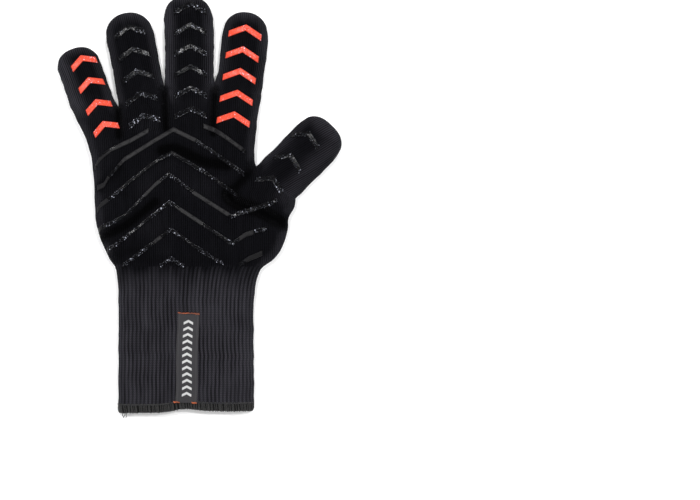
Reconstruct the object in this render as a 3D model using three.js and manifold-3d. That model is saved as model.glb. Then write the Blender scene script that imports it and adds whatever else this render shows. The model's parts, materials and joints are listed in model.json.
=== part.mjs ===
// A heat resistant barbecue glove for the right hand, lying flat on its back with the palm up.
// Millimetres, +Z up. The cuff's mouth faces -Y, the fingers point along +Y and the thumb lies on the +X side.
//
// The glove is two knitted bags, a thick outer shell and a thin liner, closed together by an overlocked hem at the
// mouth. Raised silicone bands are printed on the palm side for grip, and a woven label is tacked to the ribbed cuff.
// Knitting has no hinges, so the shell and the liner are divided where the glove folds: at the wrist, at the root of
// each finger and at each finger's middle knuckle. Every fold turns about a line in the palm-side face, so the back
// of the glove opens as it would stretch, and the palm side never has to shorten.

import * as THREE from "three";
import { mergeVertices } from "three/addons/utils/BufferGeometryUtils.js";
import Module from "manifold-3d";

const wasm = await Module();
wasm.setup();

// ---- Fabric and clearances ----
const SHELL_WALL = 2.4;
const LINER_WALL = 1.6;
const GAP = 0.3; // between pieces that touch
const PRINT_GAP = 0.2; // between the knit and the silicone on it
const PRINT_RISE = 1.2;

// ---- Hand ----
const HAND_THICKNESS = 24;
const HAND_EDGE = 10; // width of the rounded border, seen from above
const FLAT_BAND = 2; // height of the upright middle of every side wall

// ---- Cuff, hem and label ----
const CUFF_LENGTH = 117.5; // hem to wrist fold
const CUFF_WIDTH = 108;
const CUFF_THICKNESS = 20;
const HEM_HEIGHT = 8.7;
const LABEL = { x: 1.2, width: 17, length: 71, thickness: 0.6, turn: -1.5 };
const TACK = { width: 1.1, rise: 0.5, inset: 1.2 };

// ---- Fingers and thumb, measured from the middle of the wrist fold ----
// x, y: middle of the root fold. tilt: degrees towards the thumb. foldTilt: the tilt that the root fold is square to.
// width: across the stall. length: root fold to tip. tip: length of the rounded end. gap: to the next finger towards
// the middle one, at the fold. Rows of print are a pitch apart along the stall, apex is the first tip below the root
// fold, and onHand of them lie on the hand. knuckle: root fold to middle knuckle, midway between two rows.
const MIDDLE = {
  name: "middle", x: 2, y: 147.5, tilt: -1.5, foldTilt: 0, width: 38.4, length: 67.8, tip: 21, thickness: 17,
  prints: 6, onHand: 2, pitch: 16.8, apex: -2.6, knuckle: 33.6, printWidth: 26, printSide: 1.5, colour: "black",
};
const INDEX = {
  name: "index", gap: 2, y: 144.5, tilt: 5.8, foldTilt: 0, width: 38, length: 58.8, tip: 20, thickness: 17,
  prints: 5, onHand: 2, pitch: 17.3, apex: -2.4, knuckle: 34.4, printWidth: 26, printSide: -1.5, colour: "orange",
};
const RING = {
  name: "ring", gap: 1.1, y: 142.5, tilt: -11.5, foldTilt: 0, width: 37.8, length: 61.2, tip: 20, thickness: 17,
  prints: 5, onHand: 2, pitch: 18, apex: -2, knuckle: 35, printWidth: 26, printSide: 0.5, colour: "black",
};
const LITTLE = {
  name: "little", gap: 4.5, y: 137, tilt: -20.6, foldTilt: 0, width: 34.4, length: 38.6, tip: 16, thickness: 16,
  prints: 4, onHand: 2, pitch: 18.5, apex: -3.4, knuckle: 18.5, printWidth: 21, printSide: 4.4, colour: "orange",
};
INDEX.x = MIDDLE.x + (MIDDLE.width + INDEX.width) / 2 + INDEX.gap;
RING.x = MIDDLE.x - (MIDDLE.width + RING.width) / 2 - RING.gap;
LITTLE.x = RING.x - (RING.width + LITTLE.width) / 2 - LITTLE.gap;
const THUMB = {
  name: "thumb", x: 76.5, y: 71.7, tilt: 44, foldTilt: 44, width: 41, length: 56.5, tip: 19, thickness: 18,
  prints: 3, onHand: 1, pitch: 23, apex: -3, knuckle: 23, printWidth: 26, printSide: -9, printTurn: 18, colour: "black",
};
const DIGITS = [LITTLE, RING, MIDDLE, INDEX, THUMB];
const ROOT_DEPTH = 30; // how far each stall reaches into the hand below its fold
const DIGIT_EDGE = 11;

// ---- Silicone print ----
const CHEVRON_DROP = 0.5; // fall of an arm for each millimetre out from the apex
const CHEVRON_BAND = 5.6;
const PALM_BAND = 4.8;
// Upper edges of the bands on the palm, from the little finger's side to the thumb's, measured from the wrist fold.
const PALM_BANDS = {
  palm_band_1_outer: [[-70, 82.5], [-29, 112.5]],
  palm_band_1_inner: [[13.5, 113.5], [47.5, 91.5]],
  palm_band_2: [[-69, 66.5], [-9.6, 111.5], [46, 74.5]],
  palm_band_3: [[-69, 48.5], [-11, 93], [42, 58.5]],
  palm_band_4: [[-68, 32.5], [-13, 75], [34.5, 40.5], [72, 54.5]],
  palm_band_5: [[-62, 15.5], [-12.5, 53.5], [36.5, 20.5], [64, 33.5]],
  palm_band_6: [[-48.5, 6.5], [-10.5, 32], [30, 6.5]],
  palm_band_6_inner: [[43.5, 7], [60, 14.5]],
  palm_band_7: [[-20.5, 6.5], [-11, 12], [-1.5, 6.5]],
};

// ---- Outline of the hand without fingers, anticlockwise from the thumb side of the wrist, from the wrist fold ----
const BELOW_WRIST = 15; // the outline runs on past the fold, where it is cut square
const WRIST_HALF = CUFF_WIDTH / 2;
const HAND_OUTLINE = [
  [WRIST_HALF + 2, -BELOW_WRIST], [WRIST_HALF + 2.5, -3], [68, 4.5], [77, 16.5], [81, 32.5], [83, 47.5],
  [76, 60.5], [64, 69.5], [54.5, 81.5], [54, 96.5], [57, 122.5], [40, 131.5], [22, 134.5], [-2, 134.5],
  [-17, 134.5], [-36, 129.5], [-56, 125.5], [-72, 118.5], [-82, 104.5], [-76, 84.5], [-73.5, 68.5], [-72.5, 50.5],
  [-70.5, 30.5], [-65, 13.5], [-WRIST_HALF - 2, -1], [-WRIST_HALF - 1.5, -BELOW_WRIST],
];

const MATERIALS = {
  shell: new THREE.MeshStandardMaterial({ color: 0x141416, roughness: 0.95, metalness: 0 }),
  cuff: new THREE.MeshStandardMaterial({ color: 0x242427, roughness: 0.95, metalness: 0 }),
  liner: new THREE.MeshStandardMaterial({ color: 0x3a3a3d, roughness: 0.95, metalness: 0 }),
  hem: new THREE.MeshStandardMaterial({ color: 0x1c1c1d, roughness: 0.9, metalness: 0 }),
  black: new THREE.MeshStandardMaterial({ color: 0x17171a, roughness: 0.3, metalness: 0 }),
  orange: new THREE.MeshStandardMaterial({ color: 0xee5236, roughness: 0.35, metalness: 0 }),
  label: new THREE.MeshStandardMaterial({ color: 0x38363a, roughness: 0.7, metalness: 0 }),
  thread: new THREE.MeshStandardMaterial({ color: 0xe0591b, roughness: 0.6, metalness: 0 }),
};

// ---- Solids and booleans ----

// A closed geometry, moved by a matrix, as a solid that can be joined and cut.
function solidOf(geometry, matrix = new THREE.Matrix4()) {
  const loose = geometry.index ? geometry.toNonIndexed() : geometry;
  const bare = new THREE.BufferGeometry()
    .setAttribute("position", loose.getAttribute("position").clone())
    .applyMatrix4(matrix);
  const merged = mergeVertices(bare, 1e-4);
  return new wasm.Manifold(
    new wasm.Mesh({
      numProp: 3,
      vertProperties: merged.attributes.position.array,
      triVerts: new Uint32Array(merged.index.array),
    }),
  );
}

function meshOf(name, solid, material) {
  const made = solid.getMesh();
  const geometry = new THREE.BufferGeometry()
    .setAttribute("position", new THREE.BufferAttribute(made.vertProperties, 3))
    .setIndex(new THREE.BufferAttribute(made.triVerts, 1));
  geometry.computeVertexNormals();
  const mesh = new THREE.Mesh(geometry, MATERIALS[material]);
  mesh.name = name;
  return mesh;
}

// Everything on the +Y side of y, as a block far larger than the glove, turned about (x, y).
function beyond(y, x = 0, turn = 0) {
  const far = 1000;
  const matrix = new THREE.Matrix4()
    .makeTranslation(x, y, 0)
    .multiply(new THREE.Matrix4().makeRotationZ(turn))
    .multiply(new THREE.Matrix4().makeTranslation(0, far / 2, 0));
  return solidOf(new THREE.BoxGeometry(far, far, far), matrix);
}

// A stuffed-looking form: an outline with a flat top and bottom and a rounded border. inset shrinks it evenly on
// every side, so two insets of one outline are a wall of even thickness. A negative inset grows it.
function pillow(shape, thickness, edge, inset) {
  const rise = (thickness - FLAT_BAND) / 2;
  const geometry = new THREE.ExtrudeGeometry(shape, {
    depth: FLAT_BAND,
    bevelThickness: rise - inset,
    bevelSize: edge - inset,
    bevelOffset: -edge,
    bevelSegments: 3,
    curveSegments: 4,
  });
  return geometry.translate(0, 0, rise);
}

// ---- Digits, each in its own frame: the fold's middle at the origin, the tip along +Y ----

function digitMatrix(digit) {
  return new THREE.Matrix4()
    .makeTranslation(digit.x, digit.y, 0)
    .multiply(new THREE.Matrix4().makeRotationZ(-THREE.MathUtils.degToRad(digit.tilt)));
}

function digitOutline({ width, length, tip }) {
  const shape = new THREE.Shape();
  shape.moveTo(width / 2, -ROOT_DEPTH);
  shape.lineTo(width / 2, length - tip);
  shape.absellipse(0, length - tip, width / 2, tip, 0, Math.PI, false);
  shape.lineTo(-width / 2, -ROOT_DEPTH);
  return shape;
}

function digitPillow(digit, inset, matrix) {
  return solidOf(pillow(digitOutline(digit), digit.thickness, DIGIT_EDGE, inset), matrix);
}

// The part of a digit's solid on the far side of its root fold, or on the near side.
function rootCut(digit, offset) {
  const turn = THREE.MathUtils.degToRad(digit.tilt - digit.foldTilt);
  const shift = offset / Math.cos(turn);
  return beyond(shift, 0, turn);
}

function digitSegments(digit, outerInset, innerInset) {
  const wall = digitPillow(digit, outerInset).subtract(digitPillow(digit, innerInset));
  const proximal = wall.intersect(rootCut(digit, GAP / 2)).subtract(beyond(digit.knuckle - GAP / 2));
  const distal = wall.intersect(beyond(digit.knuckle + GAP / 2));
  return { proximal, distal };
}

// ---- Hand and cuff ----

function handOutline() {
  return new THREE.Shape(HAND_OUTLINE.map(([x, y]) => new THREE.Vector2(x, y)));
}

// The hand with the root of every digit, cut square at the folds, shrunk evenly by inset.
function handForm(inset) {
  let form = solidOf(pillow(handOutline(), HAND_THICKNESS, HAND_EDGE, inset));
  for (const digit of DIGITS) {
    const matrix = digitMatrix(digit);
    const beforeFold = digitPillow(digit, inset).subtract(rootCut(digit, -GAP / 2));
    form = form.add(beforeFold.transform(matrix.elements));
  }
  return form;
}

// The same form with its folds left open, for hollowing out.
function handHollow(inset) {
  let form = solidOf(pillow(handOutline(), HAND_THICKNESS, HAND_EDGE, inset));
  for (const digit of DIGITS) {
    form = form.add(digitPillow(digit, inset, digitMatrix(digit)));
  }
  return form;
}

function handWall(outerInset, innerInset) {
  return handForm(outerInset)
    .subtract(handHollow(innerInset))
    .intersect(beyond(GAP / 2));
}

// A flat tube along Y with half-round sides, standing with its back at a height of inset.
function cuffTube(fromY, toY, outerInset, innerInset) {
  const outline = (inset) => {
    const radius = CUFF_THICKNESS / 2 - inset;
    const straight = (CUFF_WIDTH - CUFF_THICKNESS) / 2;
    const path = new THREE.Path();
    path.moveTo(straight, -radius);
    path.absarc(straight, 0, radius, -Math.PI / 2, Math.PI / 2, false);
    path.absarc(-straight, 0, radius, Math.PI / 2, (3 * Math.PI) / 2, false);
    return path.getPoints(4);
  };
  const shape = new THREE.Shape(outline(outerInset));
  shape.holes.push(new THREE.Path(outline(innerInset)));
  const geometry = new THREE.ExtrudeGeometry(shape, { depth: toY - fromY, bevelEnabled: false });
  const upright = new THREE.Matrix4()
    .makeTranslation(0, toY, CUFF_THICKNESS / 2)
    .multiply(new THREE.Matrix4().makeRotationX(Math.PI / 2));
  return solidOf(geometry, upright);
}

// ---- Silicone print ----

// A band whose upper edge runs through points, cut upright at its ends, as a prism that stands on the upper half of a
// form of that thickness and reaches past the top of the hand.
function bandPrism(points, band, thickness, matrix) {
  const upper = points.map(([x, y]) => new THREE.Vector2(x, y));
  const lower = points.map(([x, y]) => new THREE.Vector2(x, y - band)).reverse();
  const shape = new THREE.Shape([...lower, ...upper]);
  const geometry = new THREE.ExtrudeGeometry(shape, { depth: HAND_THICKNESS, bevelEnabled: false });
  return solidOf(geometry.translate(0, 0, thickness / 2 + FLAT_BAND), matrix);
}

// The skin of a form between the print's underside and its top.
function printSkin(form) {
  return form(-PRINT_GAP - PRINT_RISE).subtract(form(-PRINT_GAP));
}

function chevronPoints(width) {
  const half = width / 2;
  return [[-half, -half * CHEVRON_DROP], [0, 0], [half, -half * CHEVRON_DROP]];
}

// Where the tip of a digit's chevron number n is, in the digit's frame.
function chevronPlace(digit, n) {
  return new THREE.Matrix4()
    .makeTranslation(digit.printSide, digit.apex + (n + 1 - digit.onHand) * digit.pitch, 0)
    .multiply(new THREE.Matrix4().makeRotationZ(THREE.MathUtils.degToRad(digit.printTurn ?? 0)));
}

// ---- Assembly ----

const glove = new THREE.Group();
glove.name = "heat_resistant_glove";

const hand = new THREE.Group();
hand.position.y = CUFF_LENGTH;
hand.add(meshOf("hand_shell", handWall(0, SHELL_WALL), "shell"));
hand.add(meshOf("hand_liner", handWall(SHELL_WALL + GAP, SHELL_WALL + GAP + LINER_WALL), "liner"));
const handSkin = printSkin(handForm);
for (const [name, points] of Object.entries(PALM_BANDS)) {
  hand.add(meshOf(name, handSkin.intersect(bandPrism(points, PALM_BAND, HAND_THICKNESS)), "black"));
}
glove.add(hand);

for (const digit of DIGITS) {
  const group = new THREE.Group();
  group.applyMatrix4(digitMatrix(digit));
  hand.add(group);
  const shell = digitSegments(digit, 0, SHELL_WALL);
  const liner = digitSegments(digit, SHELL_WALL + GAP, SHELL_WALL + GAP + LINER_WALL);
  group.add(meshOf(`${digit.name}_proximal_shell`, shell.proximal, "shell"));
  group.add(meshOf(`${digit.name}_distal_shell`, shell.distal, "shell"));
  group.add(meshOf(`${digit.name}_proximal_liner`, liner.proximal, "liner"));
  group.add(meshOf(`${digit.name}_distal_liner`, liner.distal, "liner"));

  const skin = printSkin((inset) => digitPillow(digit, inset));
  const points = chevronPoints(digit.printWidth);
  for (let n = 0; n < digit.prints; n++) {
    const name = `${digit.name}_chevron_${n + 1}`;
    const place = chevronPlace(digit, n);
    if (n < digit.onHand) {
      const prism = bandPrism(points, CHEVRON_BAND, digit.thickness, digitMatrix(digit).multiply(place));
      hand.add(meshOf(name, handSkin.intersect(prism), digit.colour));
    } else {
      const prism = bandPrism(points, CHEVRON_BAND, digit.thickness, place);
      group.add(meshOf(name, skin.intersect(prism), digit.colour));
    }
  }
}

const cuff = new THREE.Group();
cuff.add(meshOf("cuff_shell", cuffTube(HEM_HEIGHT + GAP, CUFF_LENGTH - GAP / 2, 0, SHELL_WALL), "cuff"));
cuff.add(
  meshOf(
    "cuff_liner",
    cuffTube(HEM_HEIGHT + GAP, CUFF_LENGTH - GAP / 2, SHELL_WALL + GAP, SHELL_WALL + GAP + LINER_WALL),
    "liner",
  ),
);
cuff.add(meshOf("hem_overlock", cuffTube(0, HEM_HEIGHT, 0, SHELL_WALL + GAP + LINER_WALL), "hem"));
glove.add(cuff);

const label = new THREE.Group();
label.position.set(LABEL.x, HEM_HEIGHT + GAP + LABEL.length / 2, CUFF_THICKNESS + GAP);
label.rotation.z = THREE.MathUtils.degToRad(LABEL.turn);
const tape = new THREE.Mesh(new THREE.BoxGeometry(LABEL.width, LABEL.length, LABEL.thickness), MATERIALS.label);
tape.name = "woven_label";
tape.position.z = LABEL.thickness / 2;
label.add(tape);
for (const [name, side] of [["label_tack_upper", 1], ["label_tack_lower", -1]]) {
  const tack = new THREE.Mesh(new THREE.BoxGeometry(LABEL.width - 1, TACK.width, TACK.rise), MATERIALS.thread);
  tack.name = name;
  tack.position.set(0, side * (LABEL.length / 2 - TACK.inset), LABEL.thickness + GAP + TACK.rise / 2);
  label.add(tack);
}
glove.add(label);

// The frame's origin is the middle of the glove's footprint, on the surface that it lies on.
const footprint = new THREE.Box3().setFromObject(glove);
const middle = footprint.getCenter(new THREE.Vector3());
glove.position.set(-middle.x, -middle.y, -footprint.min.z);

export default glove;
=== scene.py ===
"""A knitted heat resistant glove with silicone grip bands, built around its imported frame.

Shapes are worked out in millimetres in the plan of the glove as it lies: x across it, y along it from the
wrist fold towards the fingertips, z up from the floor. Meshes are made in metres in the row frame.
"""

import json
import math

import bmesh
import bpy
import numpy as np
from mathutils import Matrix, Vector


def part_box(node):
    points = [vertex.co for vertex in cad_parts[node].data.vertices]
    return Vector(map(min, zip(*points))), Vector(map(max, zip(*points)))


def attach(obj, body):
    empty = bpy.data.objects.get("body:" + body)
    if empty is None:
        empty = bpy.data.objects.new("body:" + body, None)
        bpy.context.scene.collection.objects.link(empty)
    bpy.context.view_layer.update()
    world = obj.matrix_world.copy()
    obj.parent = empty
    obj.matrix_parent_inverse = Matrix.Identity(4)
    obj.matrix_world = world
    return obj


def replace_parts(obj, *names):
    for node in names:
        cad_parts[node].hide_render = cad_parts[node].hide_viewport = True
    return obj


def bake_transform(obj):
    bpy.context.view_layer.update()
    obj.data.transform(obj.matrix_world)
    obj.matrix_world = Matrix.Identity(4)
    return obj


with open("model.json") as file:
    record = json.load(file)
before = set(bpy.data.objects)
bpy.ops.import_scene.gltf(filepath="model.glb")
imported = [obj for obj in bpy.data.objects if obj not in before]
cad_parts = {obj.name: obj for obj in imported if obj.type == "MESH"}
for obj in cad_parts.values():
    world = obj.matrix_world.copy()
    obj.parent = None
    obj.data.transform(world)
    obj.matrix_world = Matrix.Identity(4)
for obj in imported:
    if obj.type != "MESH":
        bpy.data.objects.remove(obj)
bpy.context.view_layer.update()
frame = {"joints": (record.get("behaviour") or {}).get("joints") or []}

bl_info = {
    "name": "Heat Resistant Glove",
    "version": (1, 0, 0),
    "blender": (4, 5, 0),
    "location": "View3D > Sidebar > Glove",
    "description": "Knitted glove with a ribbed cuff and silicone grip bands",
    "category": "Object",
}

MM = 0.001
JOINTS = {joint["name"]: joint for joint in frame["joints"]}
WRIST = np.array(JOINTS["wrist_fold"]["pos_m"]) / MM
CUFF_LENGTH = WRIST[1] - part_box("hem_overlock")[0].y / MM
MOUTH = -CUFF_LENGTH  # where the cuff ends, from the wrist fold
HEM_HEIGHT = (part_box("hem_overlock")[1].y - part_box("hem_overlock")[0].y) / MM
LABEL_LOW, LABEL_HIGH = (np.array(corner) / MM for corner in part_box("woven_label"))

# ---- Plan of the glove ----

# Sides of the cuff and the hand, from below the mouth upwards: the little finger's, the thumb's up to its
# root, and the index finger's from the thumb's web upwards.
LITTLE_SIDE = [
    (-54.4, -132), (-54.2, -90), (-53.9, -50), (-54.3, -20), (-56, -3), (-61.5, 6.5), (-68, 21), (-72, 38),
    (-73.2, 62), (-75.4, 85), (-79.6, 101), (-83.6, 109.5), (-88, 118), (-91.3, 124.8),
]
THUMB_SIDE = [
    (53.7, -132), (53.9, -90), (53.6, -50), (54.1, -24), (56, -11), (59.6, -2), (69.5, 5.5), (76.8, 15.5),
    (80.8, 28.9), (81.3, 38), (85.9, 46), (87.1, 53.1),
]
INDEX_SIDE = [(55.3, 79.4), (54.2, 86), (54.6, 95), (55.9, 108), (56.8, 118), (58.2, 127), (59.4, 133.5)]
BASE_Y = 118.0  # the finger stalls are knitted on above this line
# Where two fingers part, on the base line and at the web above it.
DIVIDERS = [(-52.6, BASE_Y), (-16.6, BASE_Y), (22.6, BASE_Y)]
WEBS = [(-54.2, 126.7), (-17.4, 141.0), (22.7, 139.5)]

# half: half width. tip: length of the rounded end. corner: how square the end is. flare: extra half width
# at the root on the side of the little finger and on the side of the thumb. bow: sideways bend of the
# middle of the stall. lean: how far the wales drift towards the thumb's side for each millimetre along the
# stall.
STALLS = {
    "little": dict(half=17.2, length=38.6, tip=17, corner=2.3, flare=(0, 0), bow=0.5, lean=0),
    "ring": dict(half=19.0, length=60.6, tip=20, corner=2.2, flare=(0, 0), bow=0.6, lean=0),
    "middle": dict(half=19.5, length=67.8, tip=21, corner=2.4, flare=(0, 0.9), bow=1.2, lean=0),
    "index": dict(half=18.4, length=58.4, tip=21, corner=2.25, flare=(1.6, 0), bow=0.8, lean=0),
    "thumb": dict(half=20.2, length=56.6, tip=20, corner=2.6, flare=(0, 0), bow=0.4, lean=0.27),
}
FINGERS = ["little", "ring", "middle", "index"]
# Where the free edges of each stall begin, from its root fold: little finger's side, thumb's side.
STARTS = {
    "little": (-5, -8),
    "ring": (-9, -4),
    "middle": (-4, -5),
    "index": (-3, -6.5),
    "thumb": (-10.5, -7.5),
}
FOLD_BEFORE, FOLD_AFTER = 3.0, 9.0  # how far a fold bends the fabric on both sides of its line
EDGE_SWAY = 0.4  # unevenness of a stall's knitted edges
SIDE_SWAY = 0.3  # unevenness of the hand's and the cuff's sides

# Thickness of the glove as it lies, and width of the rounded border inside its outline.
CUFF_THICK, PALM_THICK, FINGER_THICK, THUMB_THICK = 19.0, 23.6, 17.0, 18.0
CUFF_BORDER, PALM_BORDER, FINGER_BORDER, THUMB_BORDER = 10.5, 20.0, 14.5, 16.0
BORDER_POWER = 2.2  # the border's section is a superellipse of this power
FLOOR_GAP = 0.05  # the knit stays this far above the floor
LINER_INSET = 2.6  # how far the liner lies inside the shell
RIB_REACH = 13.0  # how far the ribs of the cuff run up into the palm


def smooth(low, high, value):
    """0 up to low, 1 from high on, and a smooth step between them. It falls where low is the larger one."""
    share = np.clip((value - low) / (high - low), 0, 1)
    return share * share * (3 - 2 * share)


def lattice_noise(x, y, cell, seed):
    """Smooth noise from -1 to 1: random values on a square lattice, blended between its corners."""
    table = np.random.default_rng(seed).uniform(-1, 1, (128, 128))
    gx, gy = x / cell, y / cell
    ix, iy = np.floor(gx).astype(int), np.floor(gy).astype(int)
    fx, fy = gx - ix, gy - iy
    fx, fy = fx * fx * (3 - 2 * fx), fy * fy * (3 - 2 * fy)
    low = table[ix % 128, iy % 128] * (1 - fx) + table[(ix + 1) % 128, iy % 128] * fx
    high = table[ix % 128, (iy + 1) % 128] * (1 - fx) + table[(ix + 1) % 128, (iy + 1) % 128] * fx
    return low * (1 - fy) + high * fy


def curve_through(points, per_span=8):
    """A Catmull-Rom curve through the points: each span is the cubic that its four neighbours give."""
    p = np.array(points, float)
    p = np.vstack([2 * p[0] - p[1], p, 2 * p[-1] - p[-2]])
    t = np.linspace(0, 1, per_span, endpoint=False)[None, :, None]
    a, b, c, d = (p[i : len(p) - 3 + i, None, :] for i in range(4))
    spans = 0.5 * (2 * b + (c - a) * t + (2 * a - 5 * b + 4 * c - d) * t**2 + (3 * b - a - 3 * c + d) * t**3)
    return np.vstack([spans.reshape(-1, 2), p[-2]])


def along(line, count):
    """count points evenly spaced along a polyline."""
    steps = np.r_[0, np.cumsum(np.linalg.norm(np.diff(line, axis=0), axis=1))]
    at = np.linspace(0, steps[-1], count)
    return np.stack([np.interp(at, steps, line[:, k]) for k in range(line.shape[1])], axis=1)


class Digit:
    """A finger or thumb stall: its folds come from the joints, its outline from half widths along it."""

    def __init__(self, name):
        self.name = name
        root = np.array(JOINTS[f"{name}_root_fold"]["pos_m"]) / MM - WRIST
        knuckle = np.array(JOINTS[f"{name}_knuckle_fold"]["pos_m"]) / MM - WRIST
        self.origin = root[:2]
        self.knuckle = float(np.linalg.norm(knuckle[:2] - root[:2]))
        self.axis = (knuckle[:2] - root[:2]) / self.knuckle
        self.side = np.array([self.axis[1], -self.axis[0]])
        self.thickness = JOINTS[f"{name}_root_fold"]["pos_m"][2] / MM
        self.__dict__.update(STALLS[name])
        self.split = (FOLD_AFTER + self.knuckle - FOLD_BEFORE) / 2
        self.bodies = ("hand", f"{name}_proximal", f"{name}_distal")

    def plan(self, s, lateral):
        """Plan points at distance s beyond the root fold and lateral across the axis, towards the thumb."""
        s, lateral = np.broadcast_arrays(np.asarray(s, float), np.asarray(lateral, float))
        return self.origin + s[..., None] * self.axis + lateral[..., None] * self.side

    def local(self, x, y):
        """The distance beyond the root fold and across the axis, of plan points."""
        dx, dy = x - self.origin[0], y - self.origin[1]
        return dx * self.axis[0] + dy * self.axis[1], dx * self.side[0] + dy * self.side[1]

    def rounding(self, s):
        """The share of the full width at s: 1 along the stall, and a superellipse quarter over the tip."""
        over = np.clip((s - self.length + self.tip) / self.tip, 0, 1)
        return (1 - over**self.corner) ** (1 / self.corner)

    def edge(self, s, hand):
        """A point of the outline at s, on the little finger's side (hand -1) or the thumb's side (hand 1)."""
        flare = self.flare[0 if hand < 0 else 1] * (1 - smooth(-4, 10, s))
        bow = self.bow * np.sin(np.clip(s / self.length, 0, 1) * math.pi)
        uneven = EDGE_SWAY * lattice_noise(s, s * 0 + hand, 4.5, len(self.name))
        return self.plan(s, bow + hand * (self.half + flare + uneven) * self.rounding(s))

    def stations(self, start, step):
        """Distances from start to the tip, a step apart. Over the rounded end they follow the sine of an
        angle that takes even steps, so that the outline's points stay evenly spaced."""
        straight = self.length - self.tip
        body = np.linspace(start, straight, max(2, round((straight - start) / step)))
        turn = np.linspace(0, math.pi / 2, round(1.45 * self.tip / step) + 1)[1:]
        return np.r_[body, straight + self.tip * np.sin(turn) ** (2 / self.corner)]


DIGITS = {name: Digit(name) for name in STALLS}
THUMB = DIGITS["thumb"]


def side_curve(side):
    """A side of the hand as a fine curve, with the small unevenness of knitted edges."""
    line = curve_through(side)
    line = along(line, round(np.linalg.norm(np.diff(line, axis=0), axis=1).sum() / 1.2))
    line[:, 0] += SIDE_SWAY * lattice_noise(line[:, 1], line[:, 1] * 0, 5.5, len(side))
    return line


def stall_outline(digit):
    """The outline of a stall from its little finger side, over the tip and down its thumb side."""
    low, high = STARTS[digit.name]
    up = digit.stations(low, 1.5)
    down = digit.stations(high, 1.5)[::-1]
    return np.vstack([digit.edge(up, -1), digit.edge(down[1:], 1)])


def glove_outline():
    """The whole outline of the glove as it lies, open at the cuff's mouth, clockwise."""
    parts = [side_curve(LITTLE_SIDE)]
    for number, name in enumerate(FINGERS):
        parts.append(stall_outline(DIGITS[name]))
        if number < len(WEBS):
            parts.append(np.array([WEBS[number]]))
    parts.append(side_curve(INDEX_SIDE)[::-1])
    parts.append(stall_outline(THUMB))
    parts.append(side_curve(THUMB_SIDE)[::-1])
    return np.vstack(parts)


def distance_to(points, line, closed=False):
    """The distance of each point from a polyline, by the nearest point on each of its segments."""
    a = line
    b = np.roll(line, -1, axis=0) if closed else line[1:]
    a = a[: len(b)]
    span = b - a
    square = np.maximum((span**2).sum(1), 1e-9)
    best = np.full(len(points), 1e9)
    for first in range(0, len(points), 4000):
        p = points[first : first + 4000, None, :]
        share = np.clip(((p - a) * span).sum(2) / square, 0, 1)
        best[first : first + 4000] = np.sqrt((((p - a - share[..., None] * span) ** 2).sum(2)).min(1))
    return best


def inside(points, loop):
    """True for the points inside a closed polyline, by counting its crossings of a ray along +x."""
    a, b = loop, np.roll(loop, -1, axis=0)
    within = np.zeros(len(points), bool)
    for p, q in zip(a, b):
        if p[1] == q[1]:
            continue
        spans = (p[1] > points[:, 1]) != (q[1] > points[:, 1])
        crossing = p[0] + (points[:, 1] - p[1]) / (q[1] - p[1]) * (q[0] - p[0])
        within ^= spans & (points[:, 0] < crossing)
    return within


class Field:
    """A value known on a square grid over the plan, and read between its points."""

    step = 1.25
    low = np.array([-116.0, -134.0])
    shape = (200, 286)
    columns = low[0] + step * np.arange(shape[0])
    rows = low[1] + step * np.arange(shape[1])
    gx, gy = np.meshgrid(columns, rows, indexing="ij")

    def __init__(self, values):
        self.values = values.reshape(self.shape)

    def __call__(self, x, y):
        gx = np.clip((x - self.low[0]) / self.step, 0, self.shape[0] - 1.001)
        gy = np.clip((y - self.low[1]) / self.step, 0, self.shape[1] - 1.001)
        ix, iy = gx.astype(int), gy.astype(int)
        fx, fy = gx - ix, gy - iy
        v = self.values
        low = v[ix, iy] * (1 - fx) + v[ix + 1, iy] * fx
        high = v[ix, iy + 1] * (1 - fx) + v[ix + 1, iy + 1] * fx
        return low * (1 - fy) + high * fy


GRID = np.stack([Field.gx.ravel(), Field.gy.ravel()], axis=1)
OUTLINE = glove_outline()
DEPTH = Field(distance_to(GRID, OUTLINE) * np.where(inside(GRID, OUTLINE), 1, -1))

# Soft folds of the palm: path in the plan, height (below 0 for a valley) and half width.
FOLDS = [
    ([(34, 57), (37, 53), (46, 48), (60, 43.5), (74, 36), (84, 34)], -4.2, 4.6),
    ([(44, 60), (56, 55), (70, 53), (84, 50)], 1.4, 6.0),
    ([(46, 34), (60, 32), (74, 24)], 1.0, 6.0),
    ([(56, 80), (48, 72), (41, 64), (36, 56)], -1.6, 4.5),
    ([(-19, 92), (-9, 93.5), (3, 88.5), (15, 83), (33, 80)], -2.3, 4.4),
    ([(-12, 80), (6, 76), (24, 70)], 0.9, 7.0),
    ([(-66, 23), (-55, 28.5), (-45, 34), (-35, 42), (-24, 51)], -2.0, 4.0),
    ([(-66, 33), (-54, 38), (-42, 46)], 0.9, 5.0),
    ([(-70, 62), (-60, 68), (-52, 78)], -0.8, 4.0),
    ([(-60, 4), (-46, 12), (-34, 12)], -0.8, 5.0),
    ([(-52.6, 104), (-53.8, 126)], -2.6, 3.0),
    ([(-15.4, 110), (-16.2, 122), (-17.4, 141)], -2.6, 3.0),
    ([(22.2, 106), (22.4, 122), (22.9, 140)], -2.8, 3.0),
    ([(-56, 2), (-30, 4.0), (0, 3.0), (30, 4.5), (58, 2)], -0.4, 3.6),
    ([(-60, 12), (-20, 15), (20, 14), (66, 12)], 0.8, 6.0),
]


def palm_relief():
    """Height added to the palm side, a Gaussian ridge or valley along each fold and slow random swells, and
    how deep in the shade of a valley each place lies."""
    height = 0.75 * lattice_noise(Field.gx, Field.gy, 27, 5) + 0.35 * lattice_noise(Field.gx, Field.gy, 12, 8)
    height = height.ravel()
    shade = np.zeros(len(height))
    for path, rise, width in FOLDS:
        away = distance_to(GRID, along(curve_through(path), 24))
        hump = np.exp(-((away / width) ** 2))
        height = height + rise * hump
        shade = shade + max(0, -rise) * hump
    return Field(height), Field(shade)


RELIEF, SHADE = palm_relief()


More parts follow.
